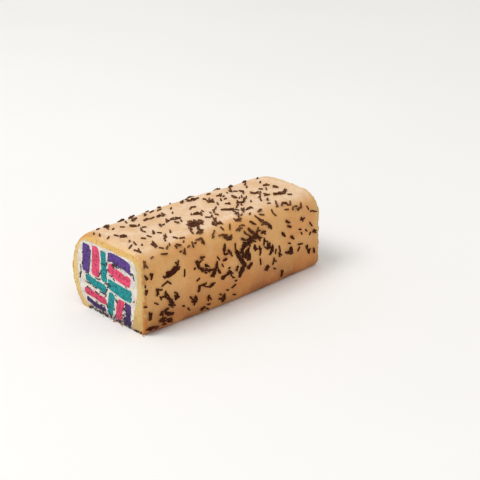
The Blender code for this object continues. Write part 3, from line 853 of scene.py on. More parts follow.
# Clumps on the right side and the top, as they lie on the unrolled skin: how far from the near cut, how
# far up the skin from the bottom right corner, length, width, and which way the length points in degrees
CLUMPS = [
    (0.0055, 0.018, 0.009, 0.004, 85), (0.0015, 0.028, 0.004, 0.002, 10), (0.0025, 0.042, 0.005, 0.003, 120),
    (0.002, 0.048, 0.003, 0.002, 90), (0.003, 0.0565, 0.006, 0.003, 120), (0.0085, 0.0565, 0.006, 0.003, 70),
    (0.0028, 0.0685, 0.007, 0.004, 75), (0.0125, 0.028, 0.006, 0.002, -35), (0.012, 0.072, 0.004, 0.002, 20),
    (0.0135, 0.039, 0.007, 0.004, 60), (0.017, 0.0405, 0.005, 0.002, -20),
    (0.0175, 0.0315, 0.005, 0.002, 110), (0.0235, 0.034, 0.005, 0.004, 80), (0.02, 0.032, 0.003, 0.002, 0),
    (0.022, 0.044, 0.008, 0.002, 15), (0.0275, 0.0445, 0.007, 0.002, -40), (0.031, 0.0535, 0.02, 0.007, 18),
    (0.0375, 0.06, 0.004, 0.003, 90), (0.022, 0.051, 0.003, 0.002, 120), (0.046, 0.0465, 0.01, 0.002, 87),
    (0.018, 0.016, 0.005, 0.003, 100), (0.023, 0.0177, 0.007, 0.003, 20), (0.027, 0.013, 0.009, 0.004, -25),
    (0.031, 0.012, 0.003, 0.003, 90), (0.019, 0.0095, 0.008, 0.005, -10), (0.0265, 0.0075, 0.007, 0.003, 10),
    (0.0205, 0.0042, 0.005, 0.002, 0), (0.027, 0.0047, 0.006, 0.002, -15),
    (0.0075, 0.0052, 0.013, 0.004, -5), (0.027, 0.028, 0.007, 0.004, -70),
    (0.0305, 0.0235, 0.005, 0.003, -60), (0.029, 0.021, 0.004, 0.003, 0), (0.0325, 0.02, 0.004, 0.002, -10),
    (0.035, 0.0315, 0.005, 0.002, -30), (0.0355, 0.0275, 0.006, 0.004, 70),
    (0.0375, 0.026, 0.004, 0.002, 15), (0.05, 0.0105, 0.005, 0.002, -50),
    (0.0535, 0.0205, 0.006, 0.002, -50), (0.059, 0.018, 0.007, 0.003, -70), (0.057, 0.015, 0.005, 0.003, 10),
    (0.0555, 0.018, 0.004, 0.002, -40), (0.058, 0.0485, 0.003, 0.002, 60),
    (0.0615, 0.0365, 0.005, 0.002, 25), (0.0625, 0.0275, 0.007, 0.003, 80), (0.067, 0.03, 0.008, 0.002, 5),
    (0.069, 0.029, 0.004, 0.003, -40), (0.077, 0.0265, 0.011, 0.003, 12), (0.0665, 0.057, 0.006, 0.003, -40),
    (0.0615, 0.053, 0.007, 0.004, -60), (0.0635, 0.0535, 0.005, 0.002, 30),
    (0.0645, 0.047, 0.009, 0.003, -48), (0.068, 0.0445, 0.004, 0.003, 70),
    (0.0725, 0.0475, 0.004, 0.003, -30), (0.0735, 0.043, 0.007, 0.003, -50),
    (0.071, 0.041, 0.003, 0.002, -20), (0.078, 0.0415, 0.006, 0.003, -10), (0.0795, 0.037, 0.006, 0.004, 80),
    (0.082, 0.039, 0.008, 0.004, 60), (0.0845, 0.045, 0.007, 0.003, 80), (0.087, 0.0375, 0.005, 0.003, -60),
    (0.0865, 0.051, 0.006, 0.002, -60), (0.0915, 0.0425, 0.005, 0.002, -60),
    (0.0945, 0.047, 0.005, 0.003, -40), (0.093, 0.03, 0.007, 0.003, 15), (0.0985, 0.032, 0.008, 0.004, 30),
    (0.102, 0.0305, 0.004, 0.003, 0), (0.1, 0.037, 0.003, 0.002, 0), (0.105, 0.0255, 0.003, 0.002, 0),
    (0.108, 0.0217, 0.003, 0.002, 0), (0.105, 0.0165, 0.007, 0.002, 15), (0.097, 0.0152, 0.004, 0.002, -15),
    (0.0885, 0.0132, 0.004, 0.002, -30), (0.0925, 0.01, 0.006, 0.003, 60), (0.0915, 0.007, 0.004, 0.003, 90),
    (0.087, 0.0092, 0.003, 0.002, 20), (0.106, 0.0073, 0.005, 0.002, -20), (0.074, 0.014, 0.006, 0.004, 80),
    (0.074, 0.0078, 0.004, 0.002, -10), (0.067, 0.0058, 0.004, 0.003, -10),
    (0.0725, 0.0036, 0.004, 0.002, -30), (0.0438, 0.015, 0.003, 0.002, -20),
    (0.11, 0.0335, 0.005, 0.003, 60), (0.114, 0.0265, 0.007, 0.005, -70), (0.0945, 0.06, 0.007, 0.003, 80),
    (0.0935, 0.055, 0.007, 0.002, 95), (0.096, 0.0525, 0.005, 0.002, -5),
    (0.1005, 0.0535, 0.008, 0.003, -50), (0.103, 0.0495, 0.004, 0.002, -50),
    (0.108, 0.056, 0.009, 0.002, 95), (0.1095, 0.0515, 0.005, 0.003, -30),
    (0.0935, 0.072, 0.008, 0.003, -15), (0.098, 0.07, 0.008, 0.004, -30), (0.0995, 0.067, 0.009, 0.005, -20),
    (0.104, 0.0675, 0.004, 0.003, 60), (0.0985, 0.0775, 0.005, 0.002, 100), (0.107, 0.076, 0.008, 0.002, 58),
    (0.086, 0.0755, 0.009, 0.002, 48), (0.0835, 0.0725, 0.004, 0.002, 10), (0.113, 0.0715, 0.005, 0.003, 50),
    (0.111, 0.049, 0.005, 0.003, -20), (0.1125, 0.044, 0.009, 0.004, -65),
    (0.025, 0.0725, 0.008, 0.002, -18), (0.0265, 0.0785, 0.005, 0.002, -35),
    (0.0323, 0.0765, 0.005, 0.003, 45), (0.0365, 0.0787, 0.004, 0.002, 60),
    (0.041, 0.0742, 0.004, 0.002, 80), (0.045, 0.0755, 0.006, 0.003, -15), (0.0435, 0.0695, 0.003, 0.002, 0),
    (0.0475, 0.0687, 0.006, 0.004, 20), (0.054, 0.0713, 0.004, 0.002, 15),
    (0.0523, 0.0773, 0.003, 0.002, 45), (0.0595, 0.0715, 0.007, 0.002, 75), (0.0625, 0.073, 0.003, 0.002, 0),
    (0.067, 0.0755, 0.007, 0.002, -5), (0.0705, 0.0735, 0.008, 0.003, -40),
    (0.07, 0.0705, 0.004, 0.002, -50), (0.0055, 0.085, 0.008, 0.004, 100),
    (0.0065, 0.0965, 0.009, 0.002, 45), (0.0137, 0.0988, 0.007, 0.002, 75),
    (0.0135, 0.1065, 0.005, 0.002, 50), (0.0165, 0.0927, 0.003, 0.002, 40),
    (0.0245, 0.0865, 0.013, 0.004, 68), (0.023, 0.082, 0.004, 0.003, 20), (0.027, 0.103, 0.005, 0.002, 130),
    (0.0345, 0.1035, 0.006, 0.002, 100), (0.045, 0.094, 0.013, 0.003, 50),
    (0.0383, 0.0865, 0.005, 0.002, 60), (0.047, 0.105, 0.005, 0.002, -60),
    (0.0435, 0.1087, 0.008, 0.003, 48), (0.0495, 0.0848, 0.006, 0.002, 100),
    (0.054, 0.082, 0.006, 0.002, -15), (0.0563, 0.101, 0.008, 0.002, 55),
    (0.0155, 0.1188, 0.007, 0.004, -10), (0.013, 0.1255, 0.007, 0.002, -80),
    (0.005, 0.1265, 0.006, 0.002, 40), (0.004, 0.137, 0.006, 0.002, 45), (0.0025, 0.1435, 0.004, 0.002, 50),
    (0.0395, 0.1335, 0.007, 0.004, -30), (0.045, 0.1317, 0.006, 0.002, 35),
    (0.0385, 0.117, 0.008, 0.002, 95), (0.0405, 0.1225, 0.005, 0.002, 60),
    (0.045, 0.1245, 0.005, 0.002, -20), (0.0595, 0.1188, 0.007, 0.003, 50), (0.063, 0.119, 0.003, 0.002, 0),
    (0.07, 0.122, 0.008, 0.003, 30), (0.0725, 0.1255, 0.005, 0.002, 70), (0.077, 0.1225, 0.006, 0.003, -20),
    (0.082, 0.1208, 0.006, 0.003, -15), (0.075, 0.1135, 0.008, 0.003, 60), (0.0795, 0.113, 0.005, 0.002, 60),
    (0.085, 0.0995, 0.02, 0.013, 15), (0.082, 0.105, 0.008, 0.004, 45), (0.073, 0.0925, 0.008, 0.003, 60),
    (0.08, 0.0905, 0.006, 0.003, 30), (0.0685, 0.085, 0.007, 0.002, 80), (0.075, 0.082, 0.01, 0.005, 20),
    (0.0775, 0.087, 0.006, 0.003, 55), (0.096, 0.087, 0.01, 0.003, 60), (0.099, 0.0845, 0.008, 0.003, 0),
    (0.1035, 0.093, 0.013, 0.004, 50), (0.103, 0.084, 0.006, 0.002, 80), (0.1035, 0.1035, 0.006, 0.002, -50),
    (0.108, 0.1025, 0.004, 0.002, 30), (0.1025, 0.1165, 0.009, 0.004, -50), (0.098, 0.12, 0.004, 0.002, 40),
    (0.1045, 0.113, 0.006, 0.003, 60), (0.1115, 0.119, 0.005, 0.002, 70), (0.1135, 0.11, 0.005, 0.003, 60),
    (0.1135, 0.102, 0.005, 0.003, 80), (0.058, 0.1385, 0.007, 0.003, 20), (0.062, 0.138, 0.004, 0.003, -40),
    (0.0655, 0.1375, 0.004, 0.002, 10), (0.072, 0.1365, 0.007, 0.003, 25), (0.077, 0.1365, 0.006, 0.003, 45),
    (0.0795, 0.139, 0.005, 0.002, 70), (0.088, 0.1355, 0.004, 0.002, 40), (0.031, 0.1395, 0.005, 0.002, -45),
    (0.0185, 0.145, 0.006, 0.002, 75), (0.0215, 0.141, 0.004, 0.002, 20), (0.021, 0.1495, 0.009, 0.004, 10),
    (0.012, 0.151, 0.004, 0.002, 0), (0.0415, 0.146, 0.005, 0.003, 90), (0.0495, 0.1465, 0.007, 0.004, 45),
    (0.054, 0.148, 0.003, 0.002, -40), (0.0647, 0.1475, 0.005, 0.004, 20),
    (0.0745, 0.1505, 0.007, 0.002, 10), (0.0825, 0.1495, 0.007, 0.002, 0),
    (0.0945, 0.1455, 0.004, 0.002, 30), (0.112, 0.1495, 0.006, 0.003, 30), (0.1075, 0.132, 0.007, 0.002, 35),
    (0.112, 0.133, 0.005, 0.003, -20), (0.12, 0.1485, 0.008, 0.003, -25), (0.126, 0.1465, 0.008, 0.004, 10),
    (0.13, 0.147, 0.005, 0.003, -20), (0.145, 0.147, 0.005, 0.003, -35), (0.133, 0.1405, 0.004, 0.002, -70),
    (0.137, 0.1375, 0.005, 0.003, 60), (0.1345, 0.1325, 0.01, 0.007, 50), (0.1345, 0.1225, 0.007, 0.002, 55),
    (0.151, 0.1362, 0.008, 0.004, 30), (0.1525, 0.132, 0.004, 0.002, 30), (0.1445, 0.1275, 0.006, 0.002, 55),
    (0.149, 0.1265, 0.004, 0.002, 0), (0.143, 0.1158, 0.005, 0.004, 100), (0.1585, 0.123, 0.008, 0.004, -70),
    (0.161, 0.118, 0.004, 0.002, 45), (0.165, 0.1185, 0.007, 0.002, 50), (0.167, 0.1135, 0.008, 0.002, 40),
    (0.152, 0.111, 0.007, 0.003, -50), (0.156, 0.108, 0.008, 0.003, 20), (0.161, 0.111, 0.007, 0.003, 45),
    (0.1475, 0.1075, 0.008, 0.002, 48), (0.142, 0.103, 0.007, 0.002, 40), (0.15, 0.104, 0.004, 0.002, 60),
    (0.1625, 0.1028, 0.004, 0.002, 40), (0.1275, 0.1065, 0.006, 0.004, -30),
    (0.131, 0.102, 0.006, 0.003, -45), (0.1345, 0.1005, 0.005, 0.003, 0), (0.136, 0.097, 0.005, 0.003, -50),
    (0.1245, 0.1155, 0.008, 0.002, 40), (0.12, 0.113, 0.004, 0.002, 60), (0.1175, 0.1095, 0.006, 0.002, 40),
    (0.1315, 0.0965, 0.006, 0.002, 70), (0.1295, 0.091, 0.008, 0.003, 50), (0.127, 0.0855, 0.008, 0.003, 45),
    (0.1305, 0.0855, 0.005, 0.002, 30), (0.122, 0.08, 0.009, 0.003, 10), (0.1183, 0.082, 0.004, 0.002, 80),
    (0.141, 0.0935, 0.008, 0.004, 45), (0.1375, 0.089, 0.005, 0.003, 40), (0.1475, 0.0915, 0.009, 0.003, 10),
    (0.1515, 0.0905, 0.004, 0.003, 70), (0.1395, 0.0823, 0.004, 0.002, 40),
    (0.1527, 0.0822, 0.006, 0.003, 40), (0.151, 0.0775, 0.006, 0.002, -20), (0.166, 0.076, 0.005, 0.003, 50),
    (0.166, 0.0725, 0.005, 0.002, -60), (0.1435, 0.0765, 0.007, 0.002, -55),
    (0.146, 0.072, 0.006, 0.003, -40), (0.1345, 0.072, 0.008, 0.003, -30), (0.1325, 0.0745, 0.003, 0.002, 0),
    (0.1215, 0.0738, 0.005, 0.002, -30), (0.1165, 0.0718, 0.006, 0.004, 30),
    (0.1275, 0.067, 0.007, 0.003, -70), (0.131, 0.064, 0.009, 0.003, -40),
    (0.1385, 0.0642, 0.005, 0.003, 15), (0.137, 0.06, 0.008, 0.003, -35), (0.146, 0.06, 0.008, 0.003, -45),
    (0.151, 0.067, 0.009, 0.004, -35), (0.155, 0.063, 0.007, 0.003, -50), (0.146, 0.0675, 0.004, 0.002, 0),
    (0.1175, 0.0615, 0.007, 0.003, -20), (0.1245, 0.058, 0.008, 0.003, -35),
    (0.129, 0.0565, 0.008, 0.003, -35), (0.133, 0.0545, 0.005, 0.002, -20), (0.12, 0.0535, 0.008, 0.003, 25),
    (0.126, 0.054, 0.006, 0.003, 60), (0.124, 0.048, 0.005, 0.004, 20), (0.118, 0.045, 0.007, 0.004, 90),
    (0.1175, 0.038, 0.006, 0.005, 45), (0.119, 0.033, 0.008, 0.004, 60), (0.126, 0.04, 0.008, 0.004, 80),
    (0.127, 0.031, 0.009, 0.004, 20), (0.134, 0.047, 0.008, 0.004, -40), (0.1205, 0.056, 0.009, 0.005, 10),
    (0.128, 0.06, 0.01, 0.004, -35), (0.1165, 0.05, 0.007, 0.004, 60), (0.123, 0.043, 0.008, 0.005, 70),
    (0.115, 0.04, 0.007, 0.004, -60), (0.134, 0.059, 0.007, 0.003, -35), (0.14, 0.0555, 0.006, 0.003, -30),
    (0.122, 0.066, 0.006, 0.003, -30), (0.117, 0.03, 0.008, 0.005, 80), (0.1805, 0.0605, 0.007, 0.003, -55),
    (0.183, 0.055, 0.006, 0.003, -30), (0.201, 0.0575, 0.005, 0.003, -15),
    (0.2125, 0.0663, 0.005, 0.003, -40), (0.217, 0.0615, 0.005, 0.002, -15),
    (0.2215, 0.0595, 0.006, 0.002, -15), (0.2, 0.0685, 0.008, 0.003, -5), (0.2045, 0.0705, 0.006, 0.003, 40),
    (0.1975, 0.0718, 0.004, 0.002, -10), (0.193, 0.0702, 0.005, 0.003, 60),
    (0.1843, 0.0722, 0.006, 0.002, -12), (0.184, 0.079, 0.007, 0.003, 45), (0.188, 0.079, 0.006, 0.003, -30),
    (0.1935, 0.0765, 0.006, 0.002, 50), (0.19, 0.0755, 0.004, 0.002, -15), (0.179, 0.0825, 0.008, 0.002, 60),
    (0.176, 0.079, 0.004, 0.002, 0), (0.1718, 0.087, 0.004, 0.003, -20), (0.178, 0.0938, 0.009, 0.003, 42),
    (0.173, 0.0985, 0.007, 0.002, 55), (0.177, 0.104, 0.005, 0.003, 80), (0.1865, 0.103, 0.008, 0.004, -45),
    (0.195, 0.097, 0.008, 0.004, -40), (0.1995, 0.0945, 0.009, 0.006, 0), (0.206, 0.097, 0.009, 0.004, 30),
    (0.2037, 0.0878, 0.005, 0.002, -40), (0.207, 0.1105, 0.006, 0.003, -60),
    (0.205, 0.1218, 0.007, 0.003, -25), (0.1935, 0.1185, 0.005, 0.003, -50),
    (0.1975, 0.114, 0.008, 0.002, 50), (0.18, 0.116, 0.007, 0.003, -75), (0.1825, 0.1125, 0.008, 0.003, -40),
    (0.1875, 0.1125, 0.006, 0.002, 50), (0.1815, 0.108, 0.005, 0.002, 50), (0.174, 0.124, 0.006, 0.002, 50),
    (0.1765, 0.129, 0.008, 0.003, 70), (0.1675, 0.137, 0.006, 0.004, 45), (0.172, 0.1345, 0.005, 0.002, -45),
    (0.172, 0.142, 0.008, 0.003, 45), (0.1775, 0.147, 0.009, 0.004, 40), (0.182, 0.1485, 0.005, 0.003, 30),
    (0.1875, 0.1325, 0.006, 0.002, 50), (0.192, 0.1395, 0.008, 0.002, 35), (0.198, 0.1465, 0.006, 0.003, 50),
    (0.2075, 0.133, 0.005, 0.003, 20), (0.214, 0.143, 0.006, 0.002, 30), (0.164, 0.1505, 0.005, 0.002, 20),
    (0.1615, 0.136, 0.003, 0.002, 60), (0.043, 0.1555, 0.01, 0.004, 5), (0.055, 0.156, 0.009, 0.003, 10),
]
# Where the picture shows none of the skin, the left side and the right side's far half, clumps of the same
# kinds fall by chance: from and to along the roll, from and to up the skin, and how many clumps
UNSEEN = [
    ((0.008, 0.222), (0.172, 0.256), 160), ((0.138, 0.222), (0.008, 0.05), 34),
    ((0.06, 0.218), (0.156, 0.173), 20),
]
UNSEEN_LENGTHS = (0.004, 0.004, 0.006, 0.006, 0.008, 0.012)
UNSEEN_WIDTHS = (0.002, 0.002, 0.003, 0.004)

skin_tree = BVHTree.FromObject(wrap, bpy.context.evaluated_depsgraph_get())
draw = random.Random(SPRINKLE_SEED)


def skin_spot(from_cut, up):
    """The place and outward normal of the skin, given along the roll and up the skin of its right side."""
    y = from_cut - LENGTH / 2
    line = skin_line(y)[::-1]
    lengths = np.r_[0, np.cumsum(np.linalg.norm(np.diff(line, axis=0), axis=1))]
    foot = np.argmax(line[:, 0] > line[:, 0].max() - FOOT_TURN)
    wanted = lengths[foot] + up
    x, z = (float(np.interp(wanted, lengths, line[:, axis])) for axis in (0, 1))
    return skin_tree.find_nearest(Vector((x, y, z)))[:2]


def rod():
    """One sprinkle along X, one metre long and one in radius: a ball drawn out to a rod with round ends."""
    bpy.ops.object.select_all(action="DESELECT")
    last = len(ROD_RINGS) - 1
    bpy.ops.mesh.primitive_uv_sphere_add(
        segments=7, ring_count=last, radius=0.5, rotation=(0, math.pi / 2, 0)
    )
    made = bpy.context.object
    bpy.ops.object.transform_apply(location=True, rotation=True, scale=True)
    for vertex in made.data.vertices:
        ring = round(math.acos(max(-1, min(1, vertex.co.x * 2))) / math.pi * last)
        reach, radius = ROD_RINGS[ring]
        round_it = Vector((0, vertex.co.y, vertex.co.z))
        vertex.co = round_it.normalized() * radius + Vector((reach, 0, 0))
    return made


def lay(model, from_cut, up, heading, length, lift):
    """One more rod on the skin, turned to a heading, sunk a little or lifted onto those under it."""
    place, normal = skin_spot(from_cut, up)
    forward = (Vector((0, 1, 0)) - normal * normal.y).normalized()
    upwards = normal.cross(forward)
    pitch = draw.uniform(-PITCH, PITCH) + (draw.uniform(-LIFTED_PITCH, LIFTED_PITCH) if lift else 0)
    heading_out = forward * math.cos(heading) + upwards * math.sin(heading)
    ahead = (heading_out * math.cos(pitch) + normal * math.sin(pitch)).normalized()
    beside = normal.cross(ahead).normalized()
    radius = draw.uniform(*SPRINKLE_RADIUS)
    centre = place + normal * (radius * (1 - SPRINKLE_SUNK) + lift)
    bend = draw.uniform(-BEND, BEND) * radius
    turned = Matrix((ahead, beside, ahead.cross(beside))).transposed()
    copy = model.data.copy()
    for vertex in copy.vertices:
        x, y, z = vertex.co
        vertex.co = centre + turned @ Vector((x * length, y * radius + bend * (1 - (2 * x) ** 2), z * radius))
    if min(vertex.co.z for vertex in copy.vertices) < CLEAR_OF_TABLE:
        bpy.data.meshes.remove(copy)
        return None
    rod_copy = bpy.data.objects.new("rod", copy)
    bpy.context.scene.collection.objects.link(rod_copy)
    return rod_copy


def strew(model, clump, rods):
    """Lays the rods of one clump side by side in its oval, each where most room is left."""
    from_cut, up, long, wide, slope = clump
    slope = math.radians(slope)
    chain = wide < CHAIN_WIDTH
    cover = SPRINKLE_COVER["side" if up < SIDE_ENDS else "top"]
    count = round(long / LONGEST_SPRINKLE) if chain else round(long * wide * math.pi / 4 / cover)
    count = max(1, count)
    laid = []
    for _ in range(count):
        alone = min(LONGEST_SPRINKLE, max(SHORTEST_SPRINKLE, long))
        length = alone if count == 1 else draw.uniform(*SPRINKLE_LENGTH)
        room = (max(0.0, long - ROOM_FOR_ROD * length) / 2, max(0.0, wide - 2 * SPRINKLE_RADIUS[1]) / 2)
        tries = []
        for _ in range(TRIES):
            angle, reach = draw.uniform(0, 2 * math.pi), math.sqrt(draw.random())
            spot = (room[0] * reach * math.cos(angle), room[1] * reach * math.sin(angle))
            gap = min((math.hypot((spot[0] - a) / ROOM_SHAPE, spot[1] - b) for a, b in laid), default=LENGTH)
            tries.append((gap, spot))
        gap, (ahead, aside) = max(tries)
        laid.append((ahead, aside))
        spread = CHAIN_SPREAD if chain else CLUMP_SPREAD[0] + CLUMP_SPREAD[1] * min(1, wide / long)
        turned = slope + draw.gauss(0, spread)
        spot_along = from_cut + ahead * math.cos(slope) - aside * math.sin(slope)
        spot_up = up + ahead * math.sin(slope) + aside * math.cos(slope)
        made = lay(model, spot_along, spot_up, turned, length, LIFT if gap < CROWDED else 0.0)
        if made:
            rods.append(made)


model_rod = rod()
rods = []
for clump in CLUMPS:
    strew(model_rod, clump, rods)
for along_range, up_range, clump_count in UNSEEN:
    for _ in range(clump_count):
        spot = (draw.uniform(*along_range), draw.uniform(*up_range))
        size = (draw.choice(UNSEEN_LENGTHS), draw.choice(UNSEEN_WIDTHS))
        strew(model_rod, (*spot, *size, draw.uniform(-90, 90)), rods)
bpy.data.objects.remove(model_rod, do_unlink=True)
bpy.ops.object.select_all(action="DESELECT")
for one in rods:
    one.select_set(True)
bpy.context.view_layer.objects.active = rods[0]
bpy.ops.object.join()
sprinkles = bpy.context.object
sprinkles.name = sprinkles.data.name = "sugar_sprinkles"
sprinkles.data.shade_smooth()

RODS = {"plain": (82, 46, 24), "dusty": (120, 76, 46), "shaded": (64, 17, 2)}
ROD_DUST = (0.0050, 0.35, 0.68)
ROD_SHADED = (0.076, 0.058)
ROD_SHADED_SHARE = 0.8
ROD_ROUGHNESS = 0.52
ROD_SHEEN = 0.08
sprinkle_finish, tree, shader = finish_with("chocolate", ROD_ROUGHNESS)
shader.inputs["Specular IOR Level"].default_value = ROD_SHEEN
brown = mixed(tree, cloudy(tree, *ROD_DUST), tint(RODS["plain"]), tint(RODS["dusty"]))
lower = ramped(tree, place_in(tree)["Z"], *ROD_SHADED)
brown = layered(tree, brown, [(lower, ROD_SHADED_SHARE, tint(RODS["shaded"]))])
tree.links.new(brown, shader.inputs["Base Color"])
sprinkles.data.materials.append(sprinkle_finish)
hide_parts("sponge_wrap")
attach(sprinkles, "root")

# Chocolate bits: dark chocolate chopped fine, folded into the cream. The knife left them as specks and
# short smears along the joints of both cuts and under their lower edge.
BIT_DEPTH = 0.0013
BIT_TURN = 12
# How large the pits in a lump are, and how deep for its size
RAGGED = (0.0009, 0.92)
# One lump to this much of a smear, with what share of its length and width each has, and how far it strays
SPECK_LENGTH = 0.0019
SPECK_LONG = (0.30, 0.85)
SPECK_WIDE = (0.55, 1.15)
SPECK_AHEAD = 0.00025
SPECK_ASIDE = 0.22
SPECK_TURN = 20
LUMP_CLEAR = 0.0001
LUMP_APART = 90
# On the near cut: across, up, length, width, and which way the length points in degrees
BITS = [
    (0.0095, 0.0577, 0.0066, 0.0026, 0), (0.0072, 0.056, 0.004, 0.0014, -20),
    (0.014, 0.0563, 0.004, 0.0012, 10), (-0.042, 0.039, 0.006, 0.0013, 80),
    (-0.0432, 0.0322, 0.006, 0.0015, 70), (-0.0442, 0.0292, 0.003, 0.0011, 60),
    (0.0358, 0.0562, 0.0035, 0.0011, -70), (0.0372, 0.0522, 0.0046, 0.0013, -70),
    (0.0356, 0.0296, 0.003, 0.0014, 80), (-0.0062, 0.0337, 0.0022, 0.0014, 0),
    (-0.003, 0.0346, 0.0036, 0.0012, 30), (0.0, 0.0356, 0.0024, 0.0013, -20),
    (0.0018, 0.0338, 0.003, 0.0016, 0), (-0.0032, 0.0282, 0.0032, 0.0012, 60),
    (-0.0022, 0.0312, 0.0022, 0.0012, 10), (-0.0335, 0.0361, 0.004, 0.0011, 0),
    (-0.0286, 0.0358, 0.003, 0.001, -20), (-0.0182, 0.0352, 0.0036, 0.0012, -8),
    (-0.0142, 0.0362, 0.003, 0.0011, 30), (-0.0335, 0.0272, 0.0042, 0.0013, -10),
    (-0.029, 0.0266, 0.0046, 0.0013, -8), (-0.0245, 0.0258, 0.0036, 0.0012, -10),
    (-0.02, 0.025, 0.003, 0.0011, 0), (-0.013, 0.0234, 0.0032, 0.0012, -5),
    (-0.0085, 0.0228, 0.0032, 0.0013, 0), (-0.0335, 0.0222, 0.003, 0.0011, 10),
    (-0.0298, 0.0214, 0.0042, 0.0014, -10), (-0.0195, 0.0206, 0.0042, 0.0015, 0),
    (-0.015, 0.0203, 0.0026, 0.0011, 0), (-0.0062, 0.0202, 0.003, 0.0014, 60),
    (-0.005, 0.0228, 0.0026, 0.0013, 80), (-0.0045, 0.025, 0.0022, 0.0011, 30),
    (-0.0125, 0.01, 0.0032, 0.0011, 0), (-0.0085, 0.01, 0.0028, 0.0011, 0),
    (-0.02, 0.0106, 0.003, 0.0009, -5), (-0.0258, 0.06, 0.0042, 0.001, 85),
    (-0.026, 0.054, 0.0052, 0.001, 88), (-0.0274, 0.048, 0.0036, 0.0009, 80),
    (-0.0292, 0.042, 0.003, 0.0009, 80), (-0.0392, 0.045, 0.0032, 0.0009, 82),
    (-0.038, 0.056, 0.0026, 0.0009, 80), (-0.015, 0.0388, 0.003, 0.0012, 50),
    (-0.013, 0.0415, 0.003, 0.0011, 70), (-0.0092, 0.053, 0.0022, 0.0012, 0),
    (-0.0056, 0.0534, 0.004, 0.0013, 0), (-0.0114, 0.044, 0.0042, 0.0009, 85),
    (-0.0022, 0.048, 0.0036, 0.0009, 85), (-0.0016, 0.056, 0.003, 0.001, 80),
    (0.001, 0.0592, 0.003, 0.0011, 10), (0.02, 0.0574, 0.003, 0.0011, 20),
    (0.0337, 0.056, 0.0032, 0.001, 82), (0.003, 0.045, 0.0042, 0.0014, -25),
    (0.0072, 0.0434, 0.0036, 0.0011, -20), (-0.0008, 0.049, 0.003, 0.0011, 80),
    (0.025, 0.0406, 0.003, 0.0009, 0), (-0.002, 0.0326, 0.003, 0.0011, 80),
    (0.01, 0.0274, 0.003, 0.0009, -10), (0.0326, 0.03, 0.003, 0.0009, 85),
    (0.0092, 0.0226, 0.003, 0.001, 80), (-0.0044, 0.012, 0.0042, 0.0011, 85),
    (0.0062, 0.012, 0.003, 0.001, 75), (0.0106, 0.0215, 0.0032, 0.0012, 70), (0.02, 0.017, 0.003, 0.001, 75),
    (0.017, 0.0062, 0.004, 0.0013, 75), (0.0155, 0.0026, 0.003, 0.0014, 60),
    (0.0078, 0.006, 0.0032, 0.0012, 80), (0.0236, 0.0236, 0.0042, 0.0015, 80),
    (0.0228, 0.0188, 0.0046, 0.0016, 85), (0.0216, 0.0126, 0.0036, 0.0016, 40),
    (0.0196, 0.01, 0.003, 0.0015, 0), (0.02, 0.0072, 0.003, 0.0012, 70), (0.0184, 0.0044, 0.003, 0.0014, 80),
    (0.0306, 0.014, 0.0032, 0.001, 80), (0.0306, 0.0062, 0.004, 0.001, 85),
    (0.0332, 0.01, 0.0022, 0.001, 70), (0.0262, 0.0122, 0.0026, 0.0012, 20),
    (0.0238, 0.0054, 0.003, 0.0013, 60), (0.0284, 0.004, 0.003, 0.0012, 0),
]
# Along the lower edge of both cuts: from and to across, up to what height, and how many
LOW_BITS = [
    ((-0.033, -0.014), 0.003, 5), ((-0.014, 0.002), 0.005, 19), ((0.002, 0.032), 0.0036, 12),
    ((0.034, 0.048), 0.0024, 6),
]
LOW_BIT_LENGTH = (0.0012, 0.0034)
LOW_BIT_SHAPE = (0.4, 0.8)
LOW_BIT_CROWD = 1.4
LOOSE_TURN = 40
# Round each strip on the far cut, by chance
FAR_BITS = 7
FAR_BIT_LENGTH = (0.0022, 0.0056)
FAR_BIT_WIDTH = (0.0009, 0.0015)


def ball():
    """A ball of a few dozen faces to be torn into bits."""
    bpy.ops.object.select_all(action="DESELECT")
    bpy.ops.mesh.primitive_uv_sphere_add(segments=7, ring_count=5, radius=1)
    return bpy.context.object


def torn(model, centre, frame_out, sizes):
    """One ragged lump: the ball stretched along three directions, its surface pushed in and out."""
    copy = model.data.copy()
    shift = Vector([draw.uniform(0, LUMP_APART) for _ in range(3)])
    lump = frame_out @ Matrix.Diagonal(sizes) * 0.5
    for vertex in copy.vertices:
        spot = lump @ vertex.co
        vertex.co = Vector(centre) + spot * (1 + RAGGED[1] * noise.noise(spot / RAGGED[0] + shift))
    low = min(vertex.co.z for vertex in copy.vertices)
    for vertex in copy.vertices:
        vertex.co.z += max(0.0, LUMP_CLEAR - low)
    made = bpy.data.objects.new("lump", copy)
    bpy.context.scene.collection.objects.link(made)
    return made


def on_cut(model, across, up, y, long, wide, slope):
    """A ragged lump lying in a cut, half sunk in it."""
    slope = math.radians(slope)
    aims = Matrix((
        (math.cos(slope), 0, math.sin(slope)), (0, 1, 0), (-math.sin(slope), 0, math.cos(slope))
    )).transposed()
    return torn(model, (across, y, up), aims, (long, BIT_DEPTH, wide))


def chopped(model, across, up, y, long, wide, slope):
    """One smear of chocolate: a few lumps of uneven size along it, none quite in line."""
    count = 1 + round(long / SPECK_LENGTH)
    way = math.radians(slope)
    lumps = []
    for number in range(count):
        ahead = ((number + 0.5) / count - 0.5) * long + draw.gauss(0, SPECK_AHEAD)
        aside = draw.gauss(0, SPECK_ASIDE) * wide
        place = (
            across + ahead * math.cos(way) - aside * math.sin(way),
            up + ahead * math.sin(way) + aside * math.cos(way),
        )
        size = (long * draw.uniform(*SPECK_LONG), wide * draw.uniform(*SPECK_WIDE))
        lumps.append(on_cut(model, *place, y, *size, slope + draw.gauss(0, SPECK_TURN)))
    return lumps


